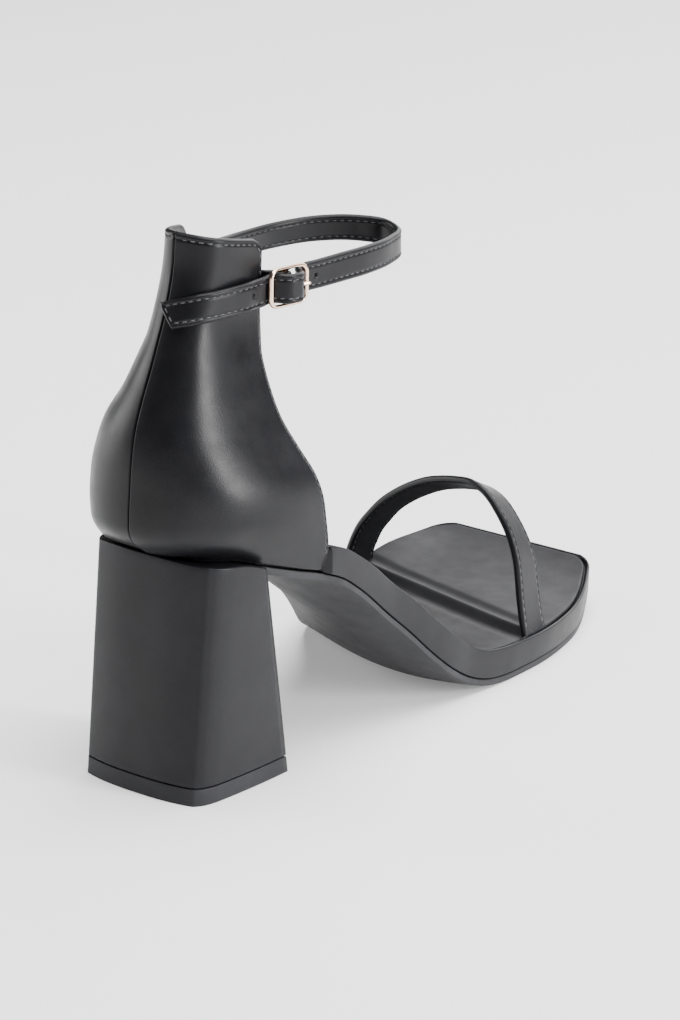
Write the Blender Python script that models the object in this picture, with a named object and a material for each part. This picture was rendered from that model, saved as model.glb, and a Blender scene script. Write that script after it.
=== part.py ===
"""Block heel sandal, one right shoe standing empty on the floor.

A hollow heel counter stands round the back of a wrapped platform, on a flared block
heel. An ankle strap leaves the counter's medial side, loops forward and is fastened in a
small buckle on the lateral side. A wide strap crosses the toes. Metres, +Z up, the toe
towards +Y and the lateral side towards +X. While the pieces are worked out, y = 0 is the
back of the heel's foot. At the end an empty brings the middle of the floor area to zero.
"""
import math

import bmesh
import bpy
import numpy as np
from mathutils import Vector

# Driving dimensions of the sole
SOLE_LENGTH = 0.2225       # back of the heel's foot to the toe, level
BALL_WIDTH = 0.0830
SEAT_HEIGHT = 0.0712       # floor to the platform's underside at the back of the heel
MEDIAL_LIFT = 0.0088       # how much higher the arch is on its medial side
ARCH_HOLLOW = 0.0042       # how much lower the arch's middle lies than its edges
TOE_SPRING = 0.0048
TOE_CORNER = 0.0060
OUTSOLE_THICK = 0.0022
OUTSOLE_INSET = 0.0003
PLATFORM_THICK = 0.0068
PLATFORM_ROUND = 0.0006    # soft edges of the wrapped board
INSOLE_THICK = 0.0012
INSOLE_INSET = 0.0004      # board left bare round the insole
INSOLE_ROUND = 0.0005
BOARD_ROOM = 0.0009        # round the board and the insole where they fill the counter
RIDGE_HEIGHT = 0.0012      # raised fold across the insole under the toe strap
RIDGE_WIDTH = 0.0045
RIDGE_PLACE = 0.1625       # along the middle of the sole

# Driving dimensions of the heel
HEEL_TOP_WIDTH = 0.0500
HEEL_TOP_DEPTH = 0.0193
HEEL_TOP_BACK = 0.0055     # how far the back leans forward up to the seat
HEEL_FOOT_WIDTH = 0.0494
HEEL_FOOT_DEPTH = 0.0379
HEEL_TAPER = 0.0025        # each side, from the breast to the back
HEEL_CORNER_WIDE = 0.0028
HEEL_CORNER_DEEP = 0.0077
HEEL_BULGE = 0.0027        # the back's roundness seen from above
BULGE_CURVE = 2.7          # the back is flat in the middle and turns near its corners
HEEL_SKEW = 0.020          # the back's lateral end lies further back, share of the side
LIFT_THICK = 0.0051

# Driving dimensions of the counter
COUNTER_HEIGHT = 0.0913    # seat to the top of the back seam
COUNTER_WIDTH = 0.0640     # widest, over both sides
COUNTER_LENGTH = 0.0547    # hindmost point to the front edges
COUNTER_BACK = 0.0054      # hindmost point, behind the heel's foot
COUNTER_WALL = 0.0020
COUNTER_TUCK = 0.0075      # how far the foot of the wall turns in to the heel
TUCK_HEIGHT = 0.0150
TOP_DROP = 0.0040          # top line, from the back seam to the front corners
TOP_CORNER = 0.0044
FOOT_CORNER = 0.0030
RIM_ROUND = 0.0004         # how much the wall thins at its rims
SEAM_STEP = 0.0006         # the lateral panel stands proud at the back seam
SEAM_FADE = 0.0110

# Driving dimensions of the straps
TOE_STRAP_WIDTH = 0.0146
TOE_STRAP_THICK = 0.0020
TOE_STRAP_HEIGHT = 0.0475  # board to the top of the arch
TOE_STRAP_INSET = 0.0010   # feet, from the board's edge
STRAP_WIDTH = 0.0086       # ankle strap
STRAP_THICK = 0.0019
LOOP_REACH = 0.0667        # counter's front edge to the front of the loop
LOOP_SPREAD = 0.0178       # heel's middle to the buckle
LOOP_RISE = 0.0733         # seat to the strap's middle at the buckle
LOOP_HEIGHT = SEAT_HEIGHT + LOOP_RISE
TIP_SLANT = 0.0060         # the free end is cut on a slant
ANCHOR_LENGTH = 0.0140     # end of the strap and of the buckle's tab inside the counter

# Driving dimensions of the buckle
BUCKLE_LENGTH = 0.0152
BUCKLE_ROD = 0.0014
BUCKLE_ROOM = 0.0004       # strap's play in the frame, each side
BUCKLE_CORNER = 0.0024
BUCKLE_AHEAD = 0.0055      # counter's front edge to the centre bar
BUCKLE_TURN = 8.5          # degrees, seen from above
BAR_DROP = 0.0016          # centre bar, inwards from the frame's plane
STRAP_TILT = 0.0009        # the strap is this much higher ahead of the buckle, lower behind
STRAP_FULL = 1.7           # how squarely the strap stands out between the end rods
STRAP_DIVE = 0.85          # share of the way to an end rod where the strap is back under it
PRONG_ROD = 0.0011
TAB_THICK = 0.0009
TAB_WIDTH = 0.0078

GAP = 0.0003               # clearance between pieces that meet
SHORT = 0.0005             # length of a step's face

# The sole by places along its length. The edges are shares of the ball width, the
# height that of the platform's underside as a share of its rise to the seat.
SOLE_COLUMNS = ("along", "medial", "lateral", "height", "lift")
SOLE_ROWS = (
    (0.000, 0.300, 0.300, 1.010, 0.00),
    (0.023, 0.310, 0.310, 0.997, 0.00),
    (0.076, 0.325, 0.330, 0.976, 0.00),
    (0.119, 0.332, 0.345, 0.930, 0.00),
    (0.180, 0.338, 0.357, 0.868, 0.08),
    (0.218, 0.337, 0.360, 0.832, 0.25),
    (0.252, 0.334, 0.361, 0.785, 0.39),
    (0.297, 0.320, 0.361, 0.690, 0.54),
    (0.357, 0.302, 0.361, 0.534, 0.78),
    (0.412, 0.296, 0.369, 0.390, 0.97),
    (0.454, 0.315, 0.380, 0.270, 1.00),
    (0.509, 0.372, 0.390, 0.134, 0.92),
    (0.548, 0.428, 0.392, 0.062, 0.76),
    (0.584, 0.482, 0.399, 0.021, 0.50),
    (0.620, 0.530, 0.404, 0.004, 0.20),
    (0.652, 0.562, 0.406, 0.000, 0.00),
    (0.710, 0.600, 0.404, 0.000, 0.00),
    (0.800, 0.630, 0.372, 0.000, 0.00),
    (0.865, 0.636, 0.325, 0.000, 0.00),
    (0.925, 0.620, 0.260, 0.000, 0.00),
    (0.970, 0.590, 0.198, 0.000, 0.00),
    (1.000, 0.555, 0.155, 0.000, 0.00),
)
LIFT_CURVE = 2.4           # the lift gathers towards the medial edge
SPRING_START = 0.82        # share of the length where the toe begins to rise
TOE_SLANT = 0.024          # lateral end of the toe's front edge, share of the ball width
RIDGE_SLANT = 0.20

# The counter by levels, as shares of its height over the seat. Back and front are shares
# of its length, the half widths shares of its width, and full says how square a side is.
COUNTER_COLUMNS = ("level", "back", "front", "medial", "lateral",
                   "medial_full", "lateral_full", "medial_lean", "lateral_lean")
COUNTER_ROWS = (
    (-0.14, 0.000, 1.000, 0.435, 0.484, 0.66, 0.66, 0.00, 0.00),
    (-0.05, 0.000, 0.995, 0.458, 0.484, 0.66, 0.66, 0.00, 0.00),
    (0.04, 0.000, 0.960, 0.487, 0.482, 0.66, 0.67, 0.00, 0.00),
    (0.13, 0.000, 0.922, 0.508, 0.486, 0.65, 0.68, 0.00, 0.00),
    (0.22, 0.007, 0.873, 0.512, 0.466, 0.63, 0.70, 0.02, 0.00),
    (0.31, 0.018, 0.820, 0.493, 0.400, 0.60, 0.73, 0.05, 0.00),
    (0.40, 0.045, 0.775, 0.452, 0.332, 0.56, 0.76, 0.08, 0.00),
    (0.49, 0.098, 0.750, 0.380, 0.285, 0.50, 0.79, 0.12, 0.00),
    (0.58, 0.168, 0.743, 0.342, 0.243, 0.44, 0.82, 0.16, 0.00),
    (0.67, 0.231, 0.776, 0.316, 0.206, 0.39, 0.86, 0.21, 0.00),
    (0.76, 0.290, 0.788, 0.298, 0.192, 0.39, 0.90, 0.22, 0.00),
    (0.88, 0.343, 0.775, 0.262, 0.204, 0.41, 0.94, 0.21, 0.00),
    (1.00, 0.358, 0.765, 0.240, 0.212, 0.42, 0.96, 0.20, 0.00),
)
# The turned-in foot of the counter from the back seam to its front edges: how far it turns
# in on each side, how high the turn reaches on each side, and how sharply it bends.
TUCK_COLUMNS = ("around", "medial", "lateral", "medial_height", "lateral_height", "curve")
TUCK_ROWS = (
    (0.00, 1.13, 1.13, 0.66, 0.66, 2.3),
    (0.20, 0.99, 1.09, 0.60, 0.72, 2.2),
    (0.30, 0.80, 1.06, 0.56, 0.76, 2.1),
    (0.40, 0.54, 1.00, 0.54, 0.80, 2.0),
    (0.50, 0.38, 0.95, 0.56, 0.85, 1.9),
    (0.60, 0.40, 0.93, 0.62, 0.89, 1.8),
    (0.75, 0.56, 0.88, 0.80, 0.95, 1.7),
    (1.00, 0.42, 0.42, 1.00, 1.00, 1.5),
)

# The toe strap's rear edge from its medial foot to its lateral one: across is a share of
# the span between the feet, rise a share of the arch's height, drop how much lower the
# front edge lies, as a share of the same height, and flare how much wider the strap is.
TOE_STRAP_COLUMNS = ("across", "rise", "drop", "flare")
TOE_STRAP_ROWS = (
    (0.000, 0.000, 0.000, 0.34),
    (0.004, 0.120, 0.050, 0.30),
    (0.039, 0.303, 0.110, 0.22),
    (0.072, 0.408, 0.120, 0.17),
    (0.127, 0.526, 0.125, 0.10),
    (0.190, 0.640, 0.125, 0.04),
    (0.277, 0.757, 0.128, 0.00),
    (0.367, 0.851, 0.130, 0.00),
    (0.449, 0.917, 0.130, 0.00),
    (0.522, 0.956, 0.130, 0.00),
    (0.598, 0.985, 0.130, 0.00),
    (0.680, 1.000, 0.130, 0.00),
    (0.760, 0.960, 0.130, 0.00),
    (0.837, 0.846, 0.128, 0.00),
    (0.900, 0.700, 0.125, 0.00),
    (0.934, 0.560, 0.120, 0.00),
    (0.952, 0.400, 0.105, 0.00),
    (0.960, 0.310, 0.080, 0.00),
    (0.978, 0.150, 0.050, 0.00),
    (1.000, 0.000, 0.000, 0.00),
)
MEDIAL_FOOT = 0.751        # places of the rear edge's feet along the sole
LATERAL_FOOT = 0.685
STRAP_SLOPE = 26.0         # degrees that the strap's width falls towards the toe

# The ankle strap's loop seen from above, from the counter's medial edge round to the
# buckle: side in shares of its spread, forward in shares of its reach, rise in shares of
# the strap's width over the buckle, and its lean towards the ankle in degrees.
LOOP_COLUMNS = ("side", "forward", "rise", "lean")
LOOP_ROWS = (
    (-0.900, 0.204, 0.26, 12.0),
    (-0.955, 0.423, 0.24, 14.0),
    (-0.843, 0.642, 0.30, 15.0),
    (-0.506, 0.818, 0.39, 16.0),
    (0.000, 0.934, 0.42, 15.0),
    (0.449, 0.990, 0.34, 10.0),
    (0.843, 0.940, 0.22, 2.0),
    (1.040, 0.800, 0.17, 0.0),
    (1.115, 0.613, 0.16, 2.0),
    (1.067, 0.423, 0.14, 3.0),
)
# The free end behind the buckle, laid round the counter's back, in the same columns
TAIL_ROWS = (
    (0.820, -0.149, -0.11, 2.0),
    (0.765, -0.241, -0.14, 0.5),
    (0.714, -0.291, -0.16, -0.5),
    (0.677, -0.327, -0.18, 0.9),
    (0.624, -0.358, -0.20, 4.5),
    (0.554, -0.383, -0.24, 9.2),
    (0.465, -0.403, -0.30, 13.6),
    (0.361, -0.418, -0.36, 16.6),
    (0.242, -0.430, -0.43, 18.3),
    (0.110, -0.438, -0.51, 19.3),
    (0.000, -0.443, -0.58, 19.8),
    (-0.093, -0.438, -0.64, 19.8),
)
ANCHOR_RISE = 0.30         # end of the strap inside the counter, share of its width

BLACK_LEATHER = ((0.020, 0.020, 0.023, 1.0), 0.42, 0.0)
BLACK_WRAP = ((0.018, 0.018, 0.020, 1.0), 0.46, 0.0)
DARK_RUBBER = ((0.045, 0.046, 0.050, 1.0), 0.62, 0.0)
ROSE_GOLD = ((0.83, 0.60, 0.49, 1.0), 0.25, 1.0)

MEDIAL = -1
LATERAL = 1
SIDE_NAMES = {MEDIAL: "medial", LATERAL: "lateral"}
SAMPLES = 61               # points read along the counter's sections


def clear_scene():
    """Remove whatever the new file holds."""
    for item in list(bpy.data.objects):
        bpy.data.objects.remove(item, do_unlink=True)


def make_material(name, look):
    """Give a piece its own plain material."""
    colour, roughness, metallic = look
    material = bpy.data.materials.new(name)
    material.use_nodes = True
    shader = material.node_tree.nodes["Principled BSDF"]
    shader.inputs["Base Color"].default_value = colour
    shader.inputs["Roughness"].default_value = roughness
    shader.inputs["Metallic"].default_value = metallic
    material.diffuse_color = colour
    return material


class Table:
    """Columns of values read smoothly between rows."""

    def __init__(self, columns, rows, places=None, limited=True):
        data = np.array(rows, dtype=float)
        if places is None:
            places, data, columns = data[:, 0], data[:, 1:], columns[1:]
        self.places = np.array(places, dtype=float)
        self.columns = {name: data[:, i] for i, name in enumerate(columns)}
        self.slopes = {name: self.find_slopes(values, limited)
                       for name, values in self.columns.items()}

    def find_slopes(self, values, limited):
        """Slope at each row; limited leaves no bump between level rows."""
        steps = np.diff(self.places)
        rises = np.diff(values) / steps
        inner = (rises[:-1] * steps[1:] + rises[1:] * steps[:-1]) / (steps[:-1] + steps[1:])
        if limited:
            least = 3.0 * np.minimum(np.abs(rises[:-1]), np.abs(rises[1:]))
            inner = np.sign(inner) * np.minimum(np.abs(inner), least)
            inner[rises[:-1] * rises[1:] <= 0] = 0.0
        return np.concatenate(([rises[0]], inner, [rises[-1]]))

    def at(self, name, place):
        """Value of a column at one place or at an array of them."""
        place = np.clip(place, self.places[0], self.places[-1])
        low = np.clip(np.searchsorted(self.places, place) - 1, 0, len(self.places) - 2)
        step = self.places[low + 1] - self.places[low]
        t = (place - self.places[low]) / step
        values, slopes = self.columns[name], self.slopes[name]
        start, end = values[low], values[low + 1]
        first, last = slopes[low] * step, slopes[low + 1] * step
        bend = (2 * t**3 - 3 * t**2 + 1) * start + (3 * t**2 - 2 * t**3) * end
        return bend + (t**3 - 2 * t**2 + t) * first + (t**3 - t**2) * last


def smooth_step(share):
    """Ease from 0 to 1."""
    share = np.clip(share, 0.0, 1.0)
    return share * share * (3.0 - 2.0 * share)


def round_corner(distance, radius):
    """How far a quarter circle has turned away at a distance from its end."""
    near = np.clip(1.0 - distance / radius, 0.0, 1.0)
    return radius * (1.0 - np.sqrt(1.0 - near * near))


def lattice(name, look, counts, place):
    """Make one closed solid from the skin of a bent box.

    counts holds the shares along the box's three ways, and place bends each triple of
    shares to its point.
    """
    last = [len(shares) - 1 for shares in counts]
    bm = bmesh.new()
    verts = {}
    for i, u in enumerate(counts[0]):
        for j, v in enumerate(counts[1]):
            for k, w in enumerate(counts[2]):
                if i in (0, last[0]) or j in (0, last[1]) or k in (0, last[2]):
                    verts[i, j, k] = bm.verts.new(Vector(place(u, v, w)))
    for way in range(3):
        first, second = [other for other in range(3) if other != way]
        for end in (0, last[way]):
            for a in range(last[first]):
                for b in range(last[second]):
                    corners = []
                    for da, db in ((0, 0), (1, 0), (1, 1), (0, 1)):
                        index = [0, 0, 0]
                        index[way] = end
                        index[first] = a + da
                        index[second] = b + db
                        corners.append(verts[tuple(index)])
                    bm.faces.new(corners)
    return finish_mesh(name, look, bm)


def tube(name, look, points, radius, sides=8, closed=False):
    """Sweep a round rod along points; open ends are capped."""
    points = [Vector(point) for point in points]
    count = len(points)
    bm = bmesh.new()
    rings = []
    normal = None
    for i, point in enumerate(points):
        after = points[(i + 1) % count] if closed else points[min(i + 1, count - 1)]
        before = points[i - 1] if closed else points[max(i - 1, 0)]
        along = (after - before).normalized()
        if normal is None:
            normal = along.orthogonal()
        normal = (normal - along * normal.dot(along)).normalized()
        other = along.cross(normal)
        ring = []
        for j in range(sides):
            turn = 2.0 * math.pi * j / sides
            ring.append(bm.verts.new(point + radius * (math.cos(turn) * normal
                                                       + math.sin(turn) * other)))
        rings.append(ring)
    spans = list(zip(rings, rings[1:]))
    if closed:
        spans.append((rings[-1], rings[0]))
    else:
        bm.faces.new(rings[0])
        bm.faces.new(rings[-1])
    for ring, following in spans:
        for j in range(sides):
            turn = (j + 1) % sides
            bm.faces.new((ring[j], ring[turn], following[turn], following[j]))
    return finish_mesh(name, look, bm)


def finish_mesh(name, look, bm):
    """Turn a bmesh into an object with outward faces and soft shading."""
    bmesh.ops.recalc_face_normals(bm, faces=bm.faces)
    mesh = bpy.data.meshes.new(name)
    bm.to_mesh(mesh)
    bm.free()
    mesh.shade_smooth()
    mesh.set_sharp_from_angle(angle=math.radians(35.0))
    mesh.materials.append(make_material(name, look))
    piece = bpy.data.objects.new(name, mesh)
    bpy.context.scene.collection.objects.link(piece)
    return piece


def combine(piece, tool, operation):
    """Join or cut a piece with a hidden tool."""
    tool.hide_render = True
    tool.display_type = "WIRE"
    change = piece.modifiers.new(operation.title(), "BOOLEAN")
    change.operation = operation
    change.solver = "EXACT"
    change.object = tool


# The sole

SOLE = Table(SOLE_COLUMNS, SOLE_ROWS)
FLAT = OUTSOLE_THICK + GAP     # platform's underside where the outsole lies on the floor


def sole_edge(side, y):
    """Half width of the sole on one side."""
    edge = BALL_WIDTH * SOLE.at(SIDE_NAMES[side], y / SOLE_LENGTH)
    return edge - round_corner(SOLE_LENGTH - y, TOE_CORNER)


def underside(x, y):
    """Height of the platform's underside."""
    along = y / SOLE_LENGTH
    medial = BALL_WIDTH * SOLE.at("medial", along)
    lateral = BALL_WIDTH * SOLE.at("lateral", along)
    across = np.clip((lateral - x) / (medial + lateral), 0.0, 1.0)
    rise = (SEAT_HEIGHT - FLAT) * SOLE.at("height", along)
    lift = SOLE.at("lift", along) * (MEDIAL_LIFT * across**LIFT_CURVE
                                     - ARCH_HOLLOW * 4.0 * across * (1.0 - across))
    spring = TOE_SPRING * np.clip((along - SPRING_START) / (1.0 - SPRING_START), 0.0, 1.0) ** 2
    return FLAT + np.maximum(rise + lift, 0.0) + spring


def board_depth(y):
    """Upright thickness of the platform, whose thickness is square to its slope."""
    reach = 0.01 * SOLE_LENGTH
    slope = (underside(0.0, y + reach) - underside(0.0, y - reach)) / (2.0 * reach)
    return PLATFORM_THICK * math.sqrt(1.0 + float(slope) ** 2)


def board_top(x, y):
    """Height of the platform's upper face."""
    return underside(x, y) + board_depth(y)


def slanted(x, y):
    """Move a place back where the toe's front edge slants."""
    share = smooth_step((y / SOLE_LENGTH - SPRING_START) / (1.0 - SPRING_START))
    return y - TOE_SLANT * share * (x + 0.5 * BALL_WIDTH)


# The counter

COUNTER = Table(COUNTER_COLUMNS, COUNTER_ROWS)
TUCK = Table(TUCK_COLUMNS, TUCK_ROWS)


def counter_level(z):
    """Height as a share of the counter's own."""
    return (z - SEAT_HEIGHT) / COUNTER_HEIGHT


def back_line(z):
    """Back seam, before the foot turns in."""
    return COUNTER_LENGTH * COUNTER.at("back", counter_level(z)) - COUNTER_BACK


def front_line(z):
    """Front edges of the counter."""
    return COUNTER_LENGTH * COUNTER.at("front", counter_level(z)) - COUNTER_BACK


def plain_section(side, t, z):
    """Half of a level section, from the back seam at 0 to the front edge at 1."""
    name = SIDE_NAMES[side]
    level = counter_level(z)
    half = COUNTER_WIDTH * COUNTER.at(name, level)
    full = COUNTER.at(name + "_full", level)
    lean = COUNTER.at(name + "_lean", level)
    back, front = back_line(z), front_line(z)
    x = 3 * (1 - t) ** 2 * t * full * half + 3 * (1 - t) * t**2 * (1 - lean) * half + t**3 * half
    turn = back + 0.8 * (1.0 - full) * (front - back)
    y = (1 - t) ** 2 * (1 + 2 * t) * back + 3 * (1 - t) * t**2 * turn + t**3 * front
    return x, y


def level_normal(x, y, t):
    """Outward normals of a level section."""
    dx = np.gradient(x, t)
    dy = np.gradient(y, t)
    size = np.hypot(dx, dy)
    return dy / size, -dx / size


def tucked_section(side, t, z):
    """A level section with the foot of the wall turned in."""
    x, y = plain_section(side, t, z)
    normal_x, normal_y = level_normal(x, y, t)
    name = SIDE_NAMES[side]
    height = (z - underside(side * x, y)) / (TUCK_HEIGHT * TUCK.at(name + "_height", t))
    depth = COUNTER_TUCK * TUCK.at(name, t)
    turn = depth * np.clip(1.0 - height, 0.0, 1.2) ** TUCK.at("curve", t)
    return x - turn * normal_x, y - turn * normal_y


def wall_section(side, z, depth, t=None):
    """A level section at a depth inside the counter's outer face, square to the wall."""
    if t is None:
        t = np.linspace(0.0, 1.0, SAMPLES)
    x, y = tucked_section(side, t, z)
    normal_x, normal_y = level_normal(x, y, t)
    reach = 0.01 * COUNTER_HEIGHT
    above_x, above_y = tucked_section(side, t, z + reach)
    below_x, below_y = tucked_section(side, t, z - reach)
    slope = ((above_x - below_x) * normal_x + (above_y - below_y) * normal_y) / (2 * reach)
    level_depth = depth * np.minimum(np.sqrt(1.0 + slope**2), 1.7)
    return x - level_depth * normal_x, y - level_depth * normal_y


def wall_reach(side, y, z, depth):
    """Half width at one place, at a depth inside the counter's outer face."""
    section_x, section_y = wall_section(side, z, depth)
    return float(np.interp(y, section_y, section_x))


def wall_back(z, depth):
    """Back end at one height, at a depth inside the counter's outer face."""
    return float(wall_section(LATERAL, z, depth)[1][0])


def counter_rims(side, t):
    """Lowest and highest points of the counter's outer face at a share round it."""
    samples = np.linspace(0.0, 1.0, SAMPLES)
    top = SEAT_HEIGHT + COUNTER_HEIGHT
    bottom = SEAT_HEIGHT
    for _ in range(6):
        y = float(np.interp(t, samples, plain_section(side, samples, top)[1]))
        back, front = back_line(top), front_line(top)
        share = np.clip((y - back) / (front - back), 0.0, 1.0)
        top = SEAT_HEIGHT + COUNTER_HEIGHT - TOP_DROP * share
        top -= round_corner(front - y, TOP_CORNER)
        foot_x, foot_y = tucked_section(side, samples, bottom)
        x = float(np.interp(t, samples, foot_x))
        y = float(np.interp(t, samples, foot_y))
        bottom = underside(side * x, y) + round_corner(front_line(bottom) - y, FOOT_CORNER)
    return float(bottom), float(top)


def build_counter():
    """Hollow wall round the heel, open above, below and in front."""
    rims = {}
    samples = np.linspace(0.0, 1.0, SAMPLES)

    def place(u, v, w):
        side = LATERAL if u > 0 else MEDIAL
        t = abs(u)
        if u not in rims:
            rims[u] = counter_rims(side, t)
        bottom, top = rims[u]
        z = bottom + v * (top - bottom)
        rim = 1.0 if v == 1.0 or t == 1.0 else 0.0
        depth = w * COUNTER_WALL + rim * RIM_ROUND * (1.0 - 2.0 * w)
        section_x, section_y = wall_section(side, z, depth)
        x = float(np.interp(t, samples, section_x))
        y = float(np.interp(t, samples, section_y))
        if w == 0.0 and u > 0.0:
            raised = SEAM_STEP * float(1.0 - smooth_step(x / SEAM_FADE))
            normal_x, normal_y = level_normal(section_x, section_y, samples)
            x += raised * float(np.interp(t, samples, normal_x))
            y += raised * float(np.interp(t, samples, normal_y))
        return side * x, y, z

    medial = [-1.0, -0.985, -0.955, -0.92, -0.87, -0.8, -0.72, -0.64, -0.56, -0.48, -0.4,
              -0.32, -0.24, -0.16, -0.08]
    lateral = [0.022, 0.08] + [-share for share in reversed(medial[:-1])]
    around = medial + [0.0] + lateral
    up = [0.0, 0.04, 0.09, 0.14, 0.2, 0.27, 0.35, 0.43, 0.51, 0.59, 0.67, 0.75, 0.83, 0.91,
          0.985, 1.0]
    return lattice("counter", BLACK_LEATHER, (around, up, (0.0, 1.0)), place)


# Sole pieces

def across_shares(count, rim):
    """Shares across a piece, with one close to each edge."""
    middle = np.linspace(rim, 1.0 - rim, count - 2)
    return [0.0] + [float(share) for share in middle] + [1.0]


def free_shares(start, count, corner_count):
    """Shares from a start to the toe, close together round the toe's corners."""
    corner = TOE_CORNER / (SOLE_LENGTH - start)
    even = [float(share) for share in np.linspace(0.0, 1.0 - corner, count)]
    turns = [0.5 * math.pi * (i + 1) / corner_count for i in range(corner_count)]
    return even + [1.0 - corner * (1.0 - math.sin(turn)) for turn in turns]


# Layers of the sole share their places, so that curved faces stay evenly apart.
FREE_START = float(front_line(underside(0.0, COUNTER_LENGTH))) + GAP + SHORT
FREE_SHARES = free_shares(FREE_START, 38, 5)
ACROSS_SHARES = across_shares(8, 0.035)


def build_board(name, look, faces, inset, rounding, ups):
    """Slab that fills the counter and steps out to the sole's outline before it.

    faces gives the heights of its lower and upper face, inset the bare edge round it,
    rounding the softness of its edges, and ups its shares from face to face.
    """
    low, high = faces
    inside = [("inside", share) for share in
              (0.010, 0.035, 0.075, 0.13, 0.21, 0.32, 0.46, 0.62, 0.80, 1.0)]
    around = inside + [("free", share) for share in FREE_SHARES]
    rims = (ups[0], ups[-1])

    def height(x, y, w):
        return float(low(x, y) * (1.0 - w) + high(x, y) * w)

    def edges(zone, y, w):
        """Half widths on both sides."""
        found = []
        for side in (MEDIAL, LATERAL):
            if zone == "inside":
                z = height(side * 0.5 * HEEL_TOP_WIDTH, y, w)
                found.append(wall_reach(side, y, z, COUNTER_WALL + BOARD_ROOM))
            else:
                found.append(float(sole_edge(side, y)) - inset)
        return found

    def place(u, v, w):
        zone, share = u
        soft = rounding * (1.0 - w) if w == rims[0] else (rounding if w == rims[1] else 0.0)
        step = front_line(height(0.0, FREE_START, w)) + GAP
        if zone == "inside":
            back = wall_back(height(0.0, COUNTER_TUCK, w), COUNTER_WALL + BOARD_ROOM)
            y = back + share * (step - back)
        else:
            y = step + SHORT + share * (SOLE_LENGTH - step - SHORT)
        medial, lateral = [edge - soft for edge in edges(zone, y, w)]
        x = -medial + v * (medial + lateral)
        z = height(x, y, w)
        if zone == "free":
            y -= (inset + soft) * share
        return x, float(slanted(x, y)), z

    return lattice(name, look, (around, ACROSS_SHARES, ups), place)


def build_platform():
    """Wrapped board from the heel to the toe."""
    return build_board("platform", BLACK_WRAP, (underside, board_top), 0.0, PLATFORM_ROUND,
                       (0.0, 0.07, 0.93, 1.0))


def insole_top(x, y):
    """Upper face of the padded sock, with the fold that crosses it."""
    line = y - RIDGE_PLACE + RIDGE_SLANT * x
    ridge = RIDGE_HEIGHT * smooth_step(1.0 - abs(line) / RIDGE_WIDTH)
    return board_top(x, y) + GAP + INSOLE_THICK + ridge


def build_insole():
    """Thin padded sock, notched for the feet of the toe strap."""
    insole = build_board("insole", BLACK_LEATHER,
                         (lambda x, y: board_top(x, y) + GAP, insole_top),
                         INSOLE_INSET, INSOLE_ROUND, (0.0, 0.55, 1.0))
    for side in (MEDIAL, LATERAL):
        cutter = lattice("toe_strap_notch", BLACK_LEATHER, toe_strap_shares(side),
                         toe_strap_notch)
        combine(insole, cutter, "DIFFERENCE")
    return insole


def heel_plan(u, v, z):
    """Point of the heel's outline at a height, from its back (0) to its breast (1)."""
    rise = z / SEAT_HEIGHT
    width = HEEL_FOOT_WIDTH + rise * (HEEL_TOP_WIDTH - HEEL_FOOT_WIDTH)
    depth = HEEL_FOOT_DEPTH + rise * (HEEL_TOP_DEPTH - HEEL_FOOT_DEPTH)
    along = u * depth
    turn = max(0.0, 1.0 - along / HEEL_CORNER_DEEP)
    half = 0.5 * width - HEEL_TAPER * (1.0 - u) ** 2
    half -= HEEL_CORNER_WIDE * (1.0 - math.sqrt(1.0 - turn * turn))
    x = (2.0 * v - 1.0) * half
    back_half = 0.5 * width - HEEL_TAPER - 0.5 * HEEL_CORNER_WIDE
    bulge = HEEL_BULGE * (1.0 - u) ** 2 * max(0.0, 1.0 - abs(x / back_half) ** BULGE_CURVE)
    return x, rise * HEEL_TOP_BACK + along - bulge - HEEL_SKEW * x * (1.0 - u)


def heel_shares():
    """Shares round the heel, close together at its back corners."""
    corner = HEEL_CORNER_DEEP / HEEL_FOOT_DEPTH
    turns = [corner * (1.0 - math.cos(0.5 * math.pi * i / 5)) for i in range(6)]
    return turns + [float(share) for share in np.linspace(corner, 1.0, 5)[1:]]


def build_heel():
    """Covered block between the lift and the seat."""
    bottom = LIFT_THICK + GAP

    def place(u, v, w):
        z = SEAT_HEIGHT
        for _ in range(4):
            x, y = heel_plan(u, v, z)
            z = bottom + w * (float(underside(x, y)) - GAP - bottom)
        x, y = heel_plan(u, v, z)
        return x, y, z

    return lattice("heel_block", BLACK_WRAP,
                   (heel_shares(), across_shares(9, 0.12), (0.0, 1.0)), place)


def build_lift():
    """Rubber lift under the heel."""
    def place(u, v, w):
        x, y = heel_plan(u, v, w * LIFT_THICK)
        return x, y, w * LIFT_THICK

    return lattice("top_lift", DARK_RUBBER,
                   (heel_shares(), across_shares(9, 0.12), (0.0, 1.0)), place)


def build_outsole():
    """Rubber outsole from the heel's breast to the toe."""
    start = 0.0
    for _ in range(6):
        z = float(underside(0.0, start)) - GAP - OUTSOLE_THICK
        start = heel_plan(1.0, 0.5, z)[1] + GAP
    front = float(front_line(underside(0.0, COUNTER_LENGTH)))

    def edge(side, y):
        """Follows the turned-in counter at first and then widens to the sole's outline."""
        wide = float(sole_edge(side, y)) - OUTSOLE_INSET
        narrow = wall_reach(side, min(y, front), float(underside(side * wide, y)), 0.0)
        ease = float(smooth_step((y - front) / COUNTER_TUCK))
        return narrow + ease * (wide - narrow)

    def place(y, v, w):
        medial, lateral = edge(MEDIAL, y), edge(LATERAL, y)
        x = -medial + v * (medial + lateral)
        z = float(underside(x, y)) - GAP - (1.0 - w) * OUTSOLE_THICK
        return x, float(slanted(x, y)), z

    before = [float(y) for y in np.linspace(start, FREE_START, 6)[:-1]]
    free = [FREE_START + share * (SOLE_LENGTH - OUTSOLE_INSET - FREE_START)
            for share in FREE_SHARES]
    return lattice("outsole", DARK_RUBBER, (before + free, ACROSS_SHARES, (0.0, 1.0)), place)


# The toe strap

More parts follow.
